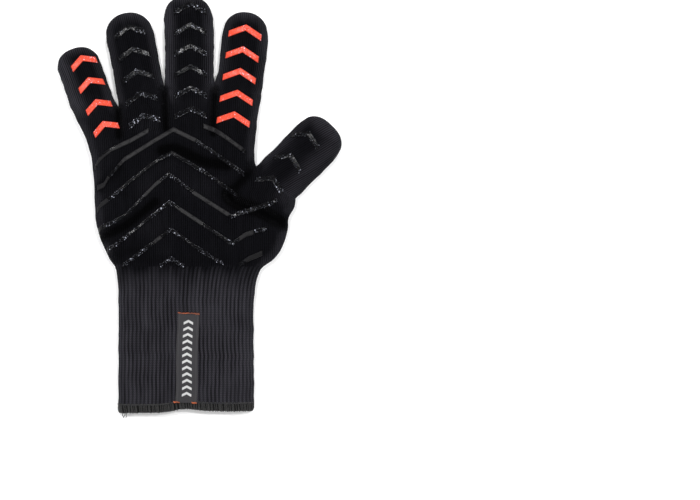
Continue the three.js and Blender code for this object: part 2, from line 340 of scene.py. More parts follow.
def thumb_share(x, y):
    """0 on the hand and 1 on the thumb, changing over the thumb's root."""
    s, lateral = THUMB.local(x, y)
    return smooth(-26, 4, s) * smooth(30, 22, np.abs(lateral)) * smooth(44, 60, x)


def thickness(x, y):
    """How thick the glove lies: the cuff, a fuller palm, thinner fingers and the thumb."""
    palm = CUFF_THICK + (PALM_THICK - CUFF_THICK) * smooth(-8, 26, y)
    hand = palm - (PALM_THICK - FINGER_THICK) * smooth(104, 146, y)
    thumb = thumb_share(x, y)
    return hand * (1 - thumb) + THUMB_THICK * thumb


def border(x, y):
    """Width of the rounded border of the outline: wide on the palm, narrower on the stalls and the cuff."""
    palm = CUFF_BORDER + (PALM_BORDER - CUFF_BORDER) * smooth(-6, 20, y)
    hand = palm - (PALM_BORDER - FINGER_BORDER) * smooth(100, 140, y)
    thumb = thumb_share(x, y)
    return hand * (1 - thumb) + THUMB_BORDER * thumb


def half_height(x, y, inset=0.0):
    """Half the thickness at a plan point: a superellipse quarter over the border, then level."""
    depth = np.clip(DEPTH(x, y) - inset, 0, None)
    over = np.clip(depth / (border(x, y) - inset), 0, 1)
    return (thickness(x, y) / 2 - inset) * (1 - (1 - over) ** BORDER_POWER) ** (1 / BORDER_POWER)


def palm_height(x, y, inset=0.0):
    """Height of the palm side of the knit above the floor."""
    settled = smooth(0, 9, DEPTH(x, y) - inset)
    return thickness(x, y) / 2 + half_height(x, y, inset) + RELIEF(x, y) * settled


def back_height(x, y, inset=0.0):
    """Height of the back of the knit above the floor."""
    return thickness(x, y) / 2 - half_height(x, y, inset) + FLOOR_GAP


# ---- Meshes ----


def to_metres(points):
    """Plan points, measured from the wrist fold, as positions in the row frame in metres."""
    return (points + np.array([WRIST[0], WRIST[1], 0])) * MM


def grid_normals(points):
    """Unit normals of a grid of points: the cross product of its differences along columns and rows."""
    normals = np.cross(np.gradient(points, axis=1), np.gradient(points, axis=0))
    return normals / np.maximum(np.linalg.norm(normals, axis=2, keepdims=True), 1e-9)


PAINTED_RIM_LIGHT, BACK_LIGHT = 0.45, 0.75  # painted rim light along the outline of the hand, and how light the yarn is on its back


def wrist_fading(y):
    """How much lighter the yarn gets from the heel of the hand down to the cuff."""
    return 0.8 * smooth(8, -26, y)


def painted_stall_rim_light(digit, x, y):
    """Painted rim light on a stall's yarn: 0 in its printed strip, and more beside the strip and beyond it.
    """
    s, lateral = digit.local(x, y)
    spec = PRINTS[digit.name]
    side = sum(spec["side"]) / 2
    reach = spec["first"] + spec["pitch"] * (spec["rows"] - 1)
    low_side, high_side, tip = spec["light"]
    away = smooth(spec["width"] / 2 - 5.5, spec["width"] / 2 + 7, np.abs(lateral - side))
    away = away * np.where(lateral < side, low_side, high_side)
    beyond = smooth(reach - 1, reach + 10, s) * tip
    near = smooth(-24, -4, s) * smooth(digit.half + 4, digit.half + 1, np.abs(lateral))
    return np.maximum(away, beyond) * near


def yarn_tone_and_painted_light(grid):
    """The tone of the yarn with painted light and shade, from 0 to about 1: dark in the printed strip of each
    stall and over the palm, painted shade in the valleys of its folds, painted rim light towards the outline
    and beside the prints, and lighter at the wrist and on the back."""
    x, y = grid[..., 0], grid[..., 1]
    # painted rim light near the outline and beside the prints of each stall
    light = smooth(9, 2, DEPTH(x, y)) * PAINTED_RIM_LIGHT
    for digit in DIGITS.values():
        light = np.maximum(light, painted_stall_rim_light(digit, x, y))
    # painted shade in the valleys of the folds; lighter towards the cuff, with random differences
    light = light + 1.3 * wrist_fading(y) - 0.7 * SHADE(x, y) + 0.1 * lattice_noise(x, y, 16, 6)
    back = grid[..., 2] < thickness(x, y) / 2
    return np.where(back, BACK_LIGHT, light)


def mesh_of(name, grids, material, tone_of=None):
    """One object from grids of points (rows, columns, 3) with their UVs: a quad between each four
    neighbours, and points that coincide joined into one. tone_of gives each point its tone, which is 0
    without it."""
    points, uvs, faces, tones, first = [], [], [], [], 0
    for grid, uv in grids:
        tones.append((tone_of(grid) if tone_of else np.zeros(grid.shape[:2])).ravel())
        rows, columns = grid.shape[:2]
        index = first + np.arange(rows * columns).reshape(rows, columns)
        quads = np.stack([index[:-1, :-1], index[:-1, 1:], index[1:, 1:], index[1:, :-1]], axis=-1)
        faces.append(quads.reshape(-1, 4))
        points.append(to_metres(grid).reshape(-1, 3))
        uvs.append(uv.reshape(-1, 2))
        first += rows * columns
    points, uvs, faces = np.vstack(points), np.vstack(uvs), np.vstack(faces)
    mesh = bpy.data.meshes.new(name)
    mesh.vertices.add(len(points))
    mesh.vertices.foreach_set("co", points.astype(np.float32).ravel())
    mesh.loops.add(faces.size)
    mesh.loops.foreach_set("vertex_index", faces.astype(np.int32).ravel())
    mesh.polygons.add(len(faces))
    mesh.polygons.foreach_set("loop_start", np.arange(0, faces.size, 4, dtype=np.int32))
    mesh.polygons.foreach_set("use_smooth", np.ones(len(faces), bool))
    mesh.update(calc_edges=True)
    tone = mesh.attributes.new("tone", "FLOAT", "POINT")
    tone.data.foreach_set("value", np.hstack(tones).astype(np.float32))
    layer = mesh.uv_layers.new(name="knit")
    layer.data.foreach_set("uv", uvs[faces.ravel()].astype(np.float32).ravel())
    join_doubles(mesh)
    mesh.materials.append(material)
    made = bpy.data.objects.new(name, mesh)
    bpy.context.scene.collection.objects.link(made)
    return made


def join_doubles(mesh):
    """Joins the mesh's points that coincide and drops the faces that have shrunk to a line."""
    work = bmesh.new()
    work.from_mesh(mesh)
    bmesh.ops.remove_doubles(work, verts=work.verts, dist=2e-6)
    bmesh.ops.dissolve_degenerate(work, edges=work.edges, dist=1e-7)
    work.to_mesh(mesh)
    work.free()


def read_rows(cumulative, values, at):
    """values interpolated at distances at along each row, where cumulative holds each row's own distances."""
    reach = cumulative[:, -1].max() + 1
    offset = np.arange(len(cumulative))[:, None] * reach
    where = (np.minimum(at, cumulative[:, -1:]) + offset).ravel()
    known = (cumulative + offset).ravel()
    read = [np.interp(where, known, values[..., k].ravel()) for k in range(values.shape[-1])]
    return np.stack(read, axis=-1).reshape(at.shape + (values.shape[-1],))


def lengths(points):
    """Distances along each row of points from its first one."""
    steps = np.linalg.norm(np.diff(points, axis=1), axis=2)
    return np.concatenate([np.zeros((len(points), 1)), np.cumsum(steps, axis=1)], axis=1)


def column_length(points, column):
    """Distances down one column of points from its first one, as a column."""
    return lengths(points[None, :, column]).T


SECTION_POINTS = 121  # points across one face, before it is read at even distances
OUTLINE_REACH = 0.35  # a point this near to the outline counts as on it


def rim_height(plan, z, inset):
    """z, or half the thickness where a plan point lies on the outline, so that both faces meet there."""
    on_outline = DEPTH(plan[..., 0], plan[..., 1]) < inset + OUTLINE_REACH
    return np.where(on_outline, thickness(plan[..., 0], plan[..., 1]) / 2, z)


def section_half(left, right, height, inset=0.0, flip=False):
    """Rows of points over one face of the glove between two lines of plan points, closer together at the
    edges, where the face turns down: across a row, x and y follow the sine of an angle and z the height
    function."""
    share = 0.5 + 0.5 * np.sin(np.linspace(-math.pi / 2, math.pi / 2, SECTION_POINTS))
    if flip:
        share = share[::-1]
    plan = left[:, None, :] + (right - left)[:, None, :] * share[None, :, None]
    z = height(plan[..., 0], plan[..., 1], inset)
    for end in (0, -1):
        z[:, end] = rim_height(plan[:, end], z[:, end], inset)
    return np.concatenate([plan, z[..., None]], axis=2)


def wale_wave(phase):
    """Height of the wales over one period: a round rib with a narrow valley, from -1 to 0."""
    return np.abs(np.cos(math.pi * phase)) ** 0.6 - 1


def rib_wave(phase):
    """Height of the cuff's ribs over one period: a broad round rib and a deep narrow valley, from -1 to 0."""
    return np.abs(np.cos(math.pi * phase)) ** 0.5 - 1


def knitted_tube(left, right, wales, per_wale, rise, inset=0.0, wave=wale_wave, tip=False, lean=0.0):
    """A tube of knit between two edge lines, both of its faces read at even distances. The wales stand up
    along the normal. On a cuff every row has the same number of wales. On a stall with a tip they run
    straight, a fixed pitch apart from its middle line or leaning off it, the outline of the tip cuts them
    off, and they end smoothly at the edges."""
    faces, phases, fades = [], [], []
    count = wales * per_wale + 1
    share = np.linspace(-0.5, 0.5, count)[None, :]
    for number, height in enumerate((palm_height, back_height)):
        dense = section_half(left, right, height, inset, flip=number == 1)
        reach = lengths(dense)
        width = reach[:, -1:]
        faces.append(read_rows(reach, dense, width * (share + 0.5)))
        pitch = np.median(width) / wales if tip else width / wales
        drift = lean * column_length(dense, SECTION_POINTS // 2) / pitch
        phases.append(width * share / pitch + wales * (number + 0.5) - drift)
        fades.append(smooth(0.1, 1.4, width * (0.5 - np.abs(share))) if tip else np.ones((len(width), count)))
    grid, phase, fade = (np.concatenate(both + [both[0][:, :1]], axis=1) for both in (faces, phases, fades))
    rows = lengths(np.swapaxes(grid, 0, 1)).mean(axis=0)
    if rise:
        depth = 0.8 + 0.3 * lattice_noise(phase, rows[:, None] / 12, 1.7, 23)
        shape = rise * depth * wave(phase) * fade
        if tip:
            shape = shape * smooth(rows[-1] - 0.1, rows[-1] - 1.6, rows)[:, None]
        grid = grid + grid_normals(grid) * shape[..., None]
    grid[:, -1] = grid[:, 0]
    grid[..., 2] = np.maximum(grid[..., 2], FLOOR_GAP)
    uv = np.stack(np.broadcast_arrays(phase, rows[:, None]), axis=-1)
    return grid, uv


def stall_edges(digit, step):
    """The two edge lines of a stall, from the hand over its tip, and how many rows they have to its split."""
    starts = STARTS[digit.name]
    low, high = (digit.edge(np.linspace(starts[k], digit.split, 30), hand) for k, hand in enumerate((-1, 1)))
    if digit.name in FINGERS:
        number = FINGERS.index(digit.name)
        below_low = [DIVIDERS[number - 1], WEBS[number - 1]] if number > 0 else side_above_base(LITTLE_SIDE)
        below_high = [DIVIDERS[number], WEBS[number]] if number < len(WEBS) else side_above_base(INDEX_SIDE)
        low, high = np.vstack([below_low, low]), np.vstack([below_high, high])
    count = round(np.linalg.norm(np.diff(high, axis=0), axis=1).sum() / step)
    s = digit.stations(digit.split, step)[1:]
    low = np.vstack([along(low, count), digit.edge(s, -1)])
    high = np.vstack([along(high, count), digit.edge(s, 1)])
    return low, high, count


def side_above_base(side):
    """The points of a side of the hand from the base line of the stalls upwards."""
    line = side_curve(side)
    base = [np.interp(BASE_Y, line[:, 1], line[:, 0]), BASE_Y]
    return np.vstack([base, line[line[:, 1] > BASE_Y + 0.5]])


def hand_sides(y):
    """The x of the hand's edges at y. The one on the thumb's side crosses from its root to its web."""
    little = side_curve(LITTLE_SIDE)
    thumb = np.vstack([side_curve(THUMB_SIDE), side_curve(INDEX_SIDE)])
    return np.interp(y, little[:, 1], little[:, 0]), np.interp(y, thumb[:, 1], thumb[:, 0])


def knitted_sheet(y, height, pitch, per_wale, rise=0.0, rib=0.0, inset=0.0, flip=False):
    """One face of the hand. Its wales run straight along the hand, pitch apart from its middle line
    outwards, and end where the face turns under at the edge. Near the wrist they run in pairs, as ribs."""
    centre = np.stack([np.zeros_like(y), y], axis=1)
    halves = []
    for edge, hand in zip(hand_sides(y), (-1, 1)):
        share = np.sin(np.linspace(0, math.pi / 2, 160))
        rim = np.stack([edge, y], axis=1)
        plan = centre[:, None, :] + (rim - centre)[:, None, :] * share[None, :, None]
        z = height(plan[..., 0], plan[..., 1], inset)
        z[:, -1] = rim_height(plan[:, -1], z[:, -1], inset)
        dense = np.concatenate([plan, z[..., None]], axis=2)
        reach = lengths(dense)
        count = math.ceil(reach[:, -1].max() / pitch) * per_wale + 1
        at = np.broadcast_to(np.arange(count) * pitch / per_wale, (len(y), count))
        points = read_rows(reach, dense, at)
        phase = np.minimum(at, reach[:, -1:]) / pitch
        fade = smooth(0.2, 2.5, reach[:, -1:] - at)
        halves.append((points, hand * phase, fade))
    turned = -1 if flip else 1
    grid, phase, fade = (
        np.concatenate([left[:, :0:-1], right], axis=1)[:, ::turned] for left, right in zip(*halves)
    )
    if rise:
        paired = smooth(RIB_REACH, 1, y)[:, None]
        wave = rise * wale_wave(phase + 0.5) * (1 - paired) + rib * rib_wave(phase / 2 + 0.5) * paired
        grid = grid + grid_normals(grid) * (wave * fade)[..., None]
    grid[..., 2] = np.maximum(grid[..., 2], FLOOR_GAP)
    uv = np.stack([phase + 0.5, np.broadcast_to(y[:, None], phase.shape)], axis=-1)
    return grid, uv


# ---- Shader maths ----


class Socket:
    """A shader socket used in Python arithmetic: each operation adds its Math node."""

    def __init__(self, graph, link):
        self.graph = graph
        self.link = link

    def math(self, operation, *others):
        values = dict(enumerate((self, *others)))
        return self.graph.add("ShaderNodeMath", {"operation": operation}, values)

    def __add__(self, other):
        return self.math("ADD", other)

    def __sub__(self, other):
        return self.math("SUBTRACT", other)

    def __mul__(self, other):
        return self.math("MULTIPLY", other)

    def __truediv__(self, other):
        return self.math("DIVIDE", other)

    def __pow__(self, other):
        return self.math("POWER", other)

    def __rsub__(self, other):
        return self.graph.add("ShaderNodeMath", {"operation": "SUBTRACT"}, {0: other, 1: self})

    __radd__ = __add__
    __rmul__ = __mul__

    def size(self):
        return self.math("ABSOLUTE")

    def part(self):
        return self.math("FRACT")

    def least(self, other):
        return self.math("MINIMUM", other)

    def most(self, other):
        return self.math("MAXIMUM", other)

    def step(self, low, high):
        """0 at low and 1 at high, with a smooth step between them."""
        values = {"Value": self, "From Min": low, "From Max": high}
        return self.graph.add("ShaderNodeMapRange", {"interpolation_type": "SMOOTHSTEP"}, values)


class Graph:
    """The node tree of a material."""

    def __init__(self, name):
        self.material = bpy.data.materials.new(name)
        self.material.use_nodes = True
        self.tree = self.material.node_tree
        self.tree.nodes.clear()

    def add(self, kind, settings=None, inputs=None, output=0):
        """A node of a type, with its settings set first and then the values or links of its sockets."""
        node = self.tree.nodes.new(kind)
        for key, value in (settings or {}).items():
            setattr(node, key, value)
        for key, value in (inputs or {}).items():
            if isinstance(value, Socket):
                self.tree.links.new(value.link, node.inputs[key])
            else:
                node.inputs[key].default_value = value
        return Socket(self, node.outputs[output]) if node.outputs else None

    def uv(self):
        """The piece's own coordinates: wales or a share of the way across it, and a length along it."""
        both = self.add("ShaderNodeUVMap", {"uv_map": "knit"})
        return (self.add("ShaderNodeSeparateXYZ", {}, {0: both}, k) for k in (0, 1))

    def tone(self):
        """The tone that the piece's points carry."""
        return self.add("ShaderNodeAttribute", {"attribute_name": "tone"}, {}, "Fac")

    def place(self):
        """Object coordinates, in metres."""
        return self.add("ShaderNodeTexCoord", {}, {}, "Object")

    def noise(self, scale, detail, vector=None):
        """Cloudy noise about 0.5, with this many features to the metre or to the vector's unit."""
        values = {"Vector": vector or self.place(), "Scale": scale, "Detail": detail}
        return self.add("ShaderNodeTexNoise", {}, values, "Fac")

    def cells(self, scale):
        """The distance from the nearest of scattered points, in spacings, scale of them to the metre."""
        return self.add("ShaderNodeTexVoronoi", {}, {"Vector": self.place(), "Scale": scale}, "Distance")

    def mix(self, share, low, high):
        """A colour between low and high."""
        inputs = {0: share, 6: low, 7: high}
        return self.add("ShaderNodeMix", {"data_type": "RGBA"}, inputs, 2)

    def scaled(self, colour, factor):
        """A colour times a factor."""
        return self.add("ShaderNodeVectorMath", {"operation": "SCALE"}, {"Vector": colour, "Scale": factor})

    def bump(self, height, distance):
        """A normal roughened by a height, where a height of 1 stands for the distance."""
        return self.add("ShaderNodeBump", {}, {"Height": height, "Distance": distance})

    def shader(self, **inputs):
        """A Principled shader with these inputs."""
        named = {key.replace("_", " "): value for key, value in inputs.items()}
        return self.add("ShaderNodeBsdfPrincipled", {}, named)

    def output(self, shader):
        """Ends the graph in a shader, and gives the material."""
        self.add("ShaderNodeOutputMaterial", {}, {"Surface": shader})
        return self.material

    def finish(self, **inputs):
        """Ends the graph in a Principled shader with these inputs, and gives the material."""
        return self.output(self.shader(**inputs))


def dyed(colour, factor=1.0):
    """A colour made lighter or darker by a factor, with full opacity."""
    return tuple(min(1.0, c * factor) for c in colour[:3]) + (1.0,)


def stitches(rib, length, courses, per_rib):
    """Height of plain knitting, 0 to 1: in each wale two legs lean into a V, one V for each course."""
    across = ((rib * per_rib).part() - 0.5).size() * 2
    leg = ((length * courses + across * 0.75).part() - 0.5).size() * 2
    bulge = 1 - (across * 2 - 1) ** 2 * 0.55
    return (1 - leg**2.4) * bulge


def knit_material(name, dark, light, courses=0.85, per_rib=1, valley=0.95, loops=0.6):
    """Matt yarn between a dark and a light colour, by the tone of the knit, which carries painted light and
    shade: V stitches raised in the normal, painted shade between the wales and the courses and in the fold
    valleys, fine lint and faint fading. courses: to the millimetre. per_rib: wales in each rib. valley,
    loops:
    how dark the painted shade is in the valleys between the wales, and in the gaps between stitches."""
    g = Graph(name)
    rib, length = g.uv()
    loop = stitches(rib, length, courses, per_rib)
    off_middle = ((rib + 0.5).part() - 0.5).size() * 2
    field = g.tone()
    lint = g.noise(2600, 2)
    patch = g.noise(45, 3)
    colour = g.mix(field + (patch - 0.5) * 0.2, dyed(dark), dyed(light))
    # painted shade: darker where the tone falls below 0, in the valleys of the palm's folds
    deep = (field + 1).step(-0.2, 1.0) * 0.85 + 0.15
    path = g.add("ShaderNodeCombineXYZ", {}, {0: rib * 0.45, 1: length * 0.035})
    uneven = g.noise(1.0, 2, path).step(0.3, 0.7)
    # painted shade in the valleys between the wales, deeper in some places than others
    wale_valley_shade = off_middle.step(0.25, 0.78) * valley * (uneven * 0.45 + 0.55) * (field.step(0, 0.6) * 0.15 + 0.9)
    shade = (loop * loops + (1 - loops)) * (1 - wale_valley_shade.least(1)) * deep
    painted_shade_and_lint = shade * 2.5 + lint.step(0.62, 0.8) * 0.3
    height = loop * 0.7 + lint * 0.5
    return g.finish(
        Base_Color=g.scaled(colour, painted_shade_and_lint),
        Roughness=0.86 + patch * 0.12,
        Normal=g.bump(height, 0.00035),
        Specular_IOR_Level=0.02,
        Sheen_Weight=0.04,
        Sheen_Roughness=0.4,
        Sheen_Tint=(0.80, 0.80, 0.90, 1),
    )


def silicone_material(name, colour, satin, roughness, shine, glint_paint):
    """Cured silicone: glossy, with blisters in clusters from the knit beneath, and smooth stretches of
    satin. The tone is below 0 on the blisters and near 1 on the satin. Bluish white dots are painted into
    the base colour as glints, mostly on the blisters; the last argument sets how white these painted glints
    are."""
    g = Graph(name)
    beads = (0.42 - g.cells(560)).most(0)
    field = g.tone()
    blisters_and_glints = (0 - field).step(-0.1, 0.7)
    stretch = field.step(0.4, 0.6)
    drops = (1 - g.cells(620).step(0.18, 0.34)) * g.noise(300, 1).step(0.50, 0.64)
    glint_specks = (1 - g.cells(1000).step(0.20, 0.40)) * g.noise(500, 1).step(0.35, 0.6)
    # painted glints: white dots mixed into the base colour, mostly where the blisters gather
    white = (drops * 0.9 + glint_specks * 0.17).least(1) * (blisters_and_glints + 0.10)
    glossy = g.shader(
        Base_Color=g.mix(white * glint_paint, dyed(colour), (0.68, 0.71, 0.84, 1)),
        Roughness=roughness + (1 - blisters_and_glints) * 0.03,
        Normal=g.bump(beads * (blisters_and_glints * 0.8 + 0.2), 0.00040),
        Specular_IOR_Level=shine,
    )
    patch = g.noise(160, 2)
    smooth_part = g.shader(
        Base_Color=g.mix(patch, dyed(satin, 0.75), dyed(satin, 1.25)),
        Roughness=0.45,
        Normal=g.bump(g.noise(300, 1), 0.0001),
        Specular_IOR_Level=0.12,
    )
    return g.output(g.add("ShaderNodeMixShader", {}, {0: stretch, 1: glossy, 2: smooth_part}))


# The row of chevrons on the label: where it starts and ends along the tape, the pitch of the chevrons, and
# how far their arms would fall over the whole width of the tape.
MOTIF_START, MOTIF_END = 4.0, 66.5
CHEVRON_PITCH, CHEVRON_SLOPE = 5.2, 9.0


def label_material(name, ground, motif):
    """Taffeta tape: a fine weave, painted darker between its threads as shade, a faint woven border and a row
    of chevrons down the middle.
    """
    g = Graph(name)
    across, length = g.uv()
    warp = (across * 42).part() - 0.5
    weft = (length * 2.6).part() - 0.5
    weave = (1 - warp.size() * 2) * 0.6 + (1 - weft.size() * 2) * 0.6
    off = (across - 0.5).size()
    line = (length + off * CHEVRON_SLOPE) / CHEVRON_PITCH
    bar = 1 - ((line.part() - 0.5).size()).step(0.17, 0.21)
    column = 1 - off.step(0.21, 0.23)
    ends = (length - MOTIF_START).step(0, 0.3) * (1 - (length - MOTIF_END).step(0, 0.3))
    edging = 1 - (off - 0.42).size().step(0.012, 0.026)
    mask = (bar * column * ends).most(edging * 0.02)
    # painted shade: the ground and the motif are darker between the threads of the weave
    dark = g.mix(weave, dyed(ground, 0.55), dyed(ground, 1.25))
    light = g.mix(weave, dyed(motif, 0.62), dyed(motif))
    return g.finish(
        Base_Color=g.mix(mask, dark, light),
        Roughness=0.72 - weave * 0.12,
        Normal=g.bump(weave * 0.6 + mask * 0.7, 0.00025),
        Sheen_Weight=0.1,
    )


def thread_material(name, colour):
    """Twisted sewing thread: plies that wind round it, painted darker in the grooves between them as shade,
    and a soft shine.
    """
    g = Graph(name)
    around, length = g.uv()
    ply = ((length * 1.7 + around).part() - 0.5).size() * 2
    fuzz = g.noise(3500, 2)
    # painted shade in the grooves between the plies
    base = g.mix(ply, dyed(colour, 1.15), dyed(colour, 0.45))
    # darker and lighter in random patches along the thread
    patchy = g.noise(260, 2).step(0.3, 0.7)
    return g.finish(
        Base_Color=g.scaled(g.mix(fuzz.step(0.55, 0.8) * 0.3, base, dyed(colour, 1.9)), patchy + 0.35),
        Roughness=0.55 + fuzz * 0.2,
        Normal=g.bump((1 - ply) * 0.8 + fuzz * 0.2, 0.0002),
        Sheen_Weight=0.15,
    )


def floor_material():
    """Smooth white paper with the faintest mottling. It glows a little, which keeps the shadows light."""
    g = Graph("paper")
    tint = g.mix(g.noise(3, 2), (0.93, 0.93, 0.93, 1), (0.95, 0.95, 0.95, 1))
    return g.finish(
        Base_Color=tint,
        Roughness=0.9,
        Specular_IOR_Level=0.1,
        Emission_Color=tint,
        Emission_Strength=0.16,
    )


# ---- Settings ----


def colour_property(name, description, default):
    """A colour that a user may change."""
    return bpy.props.FloatVectorProperty(
        name=name, description=description, default=default, size=3, min=0, max=1, subtype="COLOR"
    )


def length_property(name, description, millimetres):
    """A length that a user may change, with its default in millimetres."""
    return bpy.props.FloatProperty(
        name=name, description=description, default=millimetres * MM, min=0, unit="LENGTH", subtype="DISTANCE"
    )


class GloveSizes(bpy.types.PropertyGroup):
    """Sizes of the knit and of what is printed and sewn on it."""

    wale: length_property("Wale", "Width of one wale of the stalls", 1.62)
    wale_rise: length_property("Wale height", "How far a wale stands above its valley", 0.26)
    rib_rise: length_property("Rib height", "How far a rib of the cuff stands above its valley", 0.52)
    ribs: bpy.props.IntProperty(name="Ribs", description="Ribs across a face of the cuff", default=38, min=10)
    print_rise: length_property("Print height", "Height of the silicone above the knit", 0.85)
    thread: length_property("Overlock thread", "Thickness of the hem's thread", 0.75)
    tack: length_property("Bar-tack thread", "Thickness of the label's sewing thread", 0.42)


class GloveColours(bpy.types.PropertyGroup):
    """Colours of the yarns and the silicone."""

    shell: colour_property("Shell", "Yarn of the palm", (0.0022, 0.0022, 0.0029))
    # The light end of the palm yarn's tone: lighter yarn towards the wrist and on the back, and painted rim
    # light towards the edges of the hand and beside the prints.
    shell_light_and_rim_light: colour_property("Shell edge", "Yarn towards the edges of the hand", (0.0175, 0.0170, 0.0206))
    cuff: colour_property("Cuff", "Yarn of the cuff", (0.0182, 0.0176, 0.0213))
    liner: colour_property("Liner", "Yarn of the liner", (0.022, 0.022, 0.024))
    hem: colour_property("Hem", "Yarn and thread of the hem", (0.0082, 0.0081, 0.0080))
    black: colour_property("Black print", "Silicone of the palm and three digits", (0.0030, 0.0030, 0.0035))
    satin: colour_property("Satin print", "Smooth stretches of black silicone", (0.0085, 0.0082, 0.0092))
    orange: colour_property("Orange print", "Silicone of little and index fingers", (0.67, 0.066, 0.033))
    label: colour_property("Label", "Ground of the woven label", (0.0132, 0.0119, 0.0152))
    motif: colour_property("Label motif", "Pattern of the woven label", (0.62, 0.62, 0.62))
    tack: colour_property("Bar-tack", "Thread that holds the label", (0.62, 0.125, 0.025))


def sizes():
    """The sizes that the panel shows."""
    return bpy.context.scene.glove_sizes


def material(name):
    """The material of that name, made on first use."""
    found = bpy.data.materials.get(name)
    if found:
        return found
    c = bpy.context.scene.glove_colours
    ribbed = dict(courses=0.52, per_rib=2, valley=0.7, loops=0.8)
    # the last value of each silicone sets how white its painted glints are
    black = dict(roughness=0.12, shine=0.06, glint_paint=0.78)
    orange = dict(roughness=0.25, shine=0.12, glint_paint=1.0)
    makers = {
        "shell_knit": lambda: knit_material(name, c.shell, c.shell_light_and_rim_light),
        "cuff_knit": lambda: knit_material(name, c.shell, c.cuff, **ribbed),
        "liner_knit": lambda: knit_material(name, c.liner, c.liner),
        "hem_knit": lambda: knit_material(name, c.hem, c.hem),
        "black_silicone": lambda: silicone_material(name, c.black, c.satin, **black),
        "orange_silicone": lambda: silicone_material(name, c.orange, c.orange, **orange),
        "label_tape": lambda: label_material(name, c.label, c.motif),
        "tack_thread": lambda: thread_material(name, c.tack),
        "hem_thread": lambda: thread_material(name, c.hem),
    }
    return makers[name]()


# ---- Pieces ----


def finished(*names):
    """The result of an operator that has made these pieces, or an error where one is missing or empty."""
    for name in names:
        piece = bpy.data.objects.get(name)
        if piece is None or not piece.data.polygons:
            raise RuntimeError(f"{name} could not be made")
    return {"FINISHED"}


def place_at(plan, height):
    """A plan point and a height as a position in the row frame, in metres."""
    return tuple(float(v) for v in to_metres(np.array([plan[0], plan[1], height])))


def bend_with(piece, digit, part):
    """Bakes the piece's place into its mesh. The ends and the bodies of a bend over the digit's root fold or
    its knuckle are worked out, but nothing bends the piece.
    """
    fold = 0.0 if part == "root" else digit.knuckle
    bodies = digit.bodies[:2] if part == "root" else digit.bodies[1:]
    start = place_at(digit.plan(fold - FOLD_BEFORE, 0), digit.thickness)
    end = place_at(digit.plan(fold + FOLD_AFTER, 0), digit.thickness)
    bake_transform(piece)
    return piece


def bend_at_wrist(piece):
    """Bakes the piece's place into its mesh. Points at the wrist fold and the cuff below it are worked out,
    but nothing bends the piece.
    """
    place_at((0, -1), WRIST[2])
    place_at((0, -18), WRIST[2])
    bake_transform(piece)
    return piece


ROUND_EDGES = 7.0  # how much longer a face of a stall is across its rounded edges than straight across


def make_stall(digit):
    """The knit of a stall with its wales, and the liner inside it, each in two pieces that meet at the
    split: the lower one takes the place of the stall's proximal part and the upper one of its distal part."""
    size = sizes()
    wales = round((2 * digit.half + ROUND_EDGES) * MM / size.wale)
    low, high, knit_split = stall_edges(digit, 1.15)
    knit = knitted_tube(low, high, wales, per_wale=6, rise=size.wale_rise / MM, tip=True, lean=digit.lean)
    low, high, lining_split = stall_edges(digit, 3.0)
    lining = knitted_tube(low, high, wales=20, per_wale=2, rise=0, inset=LINER_INSET, tip=True)
    for (grid, uv), split, layer, node in (
        (knit, knit_split, "knit", "shell"),
        (lining, lining_split, "lining", "liner"),
    ):
        for part, body, rows in (
            ("root", "proximal", slice(0, split)),
            ("tip", "distal", slice(split - 1, None)),
        ):
            made = [(grid[rows], uv[rows])]
            piece = mesh_of(f"{digit.name}_{part}_{layer}", made, material(f"{node}_knit"), yarn_tone_and_painted_light)
            bend_with(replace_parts(piece, f"{digit.name}_{body}_{node}"), digit, part)


class GLOVE_OT_stalls(bpy.types.Operator):
    """Knit the finger and thumb stalls and their liners"""

    bl_idname = "glove.stalls"
    bl_label = "Stalls"

    def execute(self, context):
        for digit in DIGITS.values():
            make_stall(digit)
        made = [f"{name}_{part}" for name in DIGITS for part in ("root", "tip")]
        return finished(*(f"{piece}_{layer}" for piece in made for layer in ("knit", "lining")))


def cuff_edges(start, end, step):
    """The two sides of the cuff from start to end, a step apart."""
    y = np.linspace(start, end, round((end - start) / step) + 1)
    return [np.stack([x, y], axis=1) for x in hand_sides(y)]


def wale_pitch(height):
    """The pitch of the wales on one face of the hand: at the wrist, two of them meet each rib of the cuff."""
    across = section_half(*cuff_edges(0.0, 0.01, 0.01), height)
    return lengths(across)[0, -1] / sizes().ribs / 2


SEAM_LAP = 0.3  # how far the hand reaches past the wrist fold and past the base line of the stalls
HEM_LAP = 2.0  # how far the ribs reach down into the hem
LINER_SHORT = 2.5  # how far above the mouth the cuff's liner ends
RIB_SWAY = 0.22  # how far the ribs wander sideways


class GLOVE_OT_hand(bpy.types.Operator):
    """Knit the hand and its liner"""

    bl_idname = "glove.hand"
    bl_label = "Hand"

    def execute(self, context):
        knit = dict(per_wale=5, rise=sizes().wale_rise / MM, rib=sizes().rib_rise / MM)
        y = np.linspace(-SEAM_LAP, BASE_Y + SEAM_LAP, 92)
        palm = knitted_sheet(y, palm_height, wale_pitch(palm_height), **knit)
        back = knitted_sheet(y, back_height, wale_pitch(back_height), **knit, flip=True)
        hand = mesh_of("hand_knit", [palm, back], material("shell_knit"), yarn_tone_and_painted_light)
        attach(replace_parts(hand, "hand_shell"), "hand")
        y = np.linspace(-SEAM_LAP, BASE_Y + SEAM_LAP, 40)
        plain = dict(pitch=3, per_wale=1, inset=LINER_INSET)
        palm = knitted_sheet(y, palm_height, **plain)
        back = knitted_sheet(y, back_height, **plain, flip=True)
        lining = mesh_of("hand_lining", [palm, back], material("liner_knit"))
        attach(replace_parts(lining, "hand_liner"), "hand")
        return finished("hand_knit", "hand_lining")


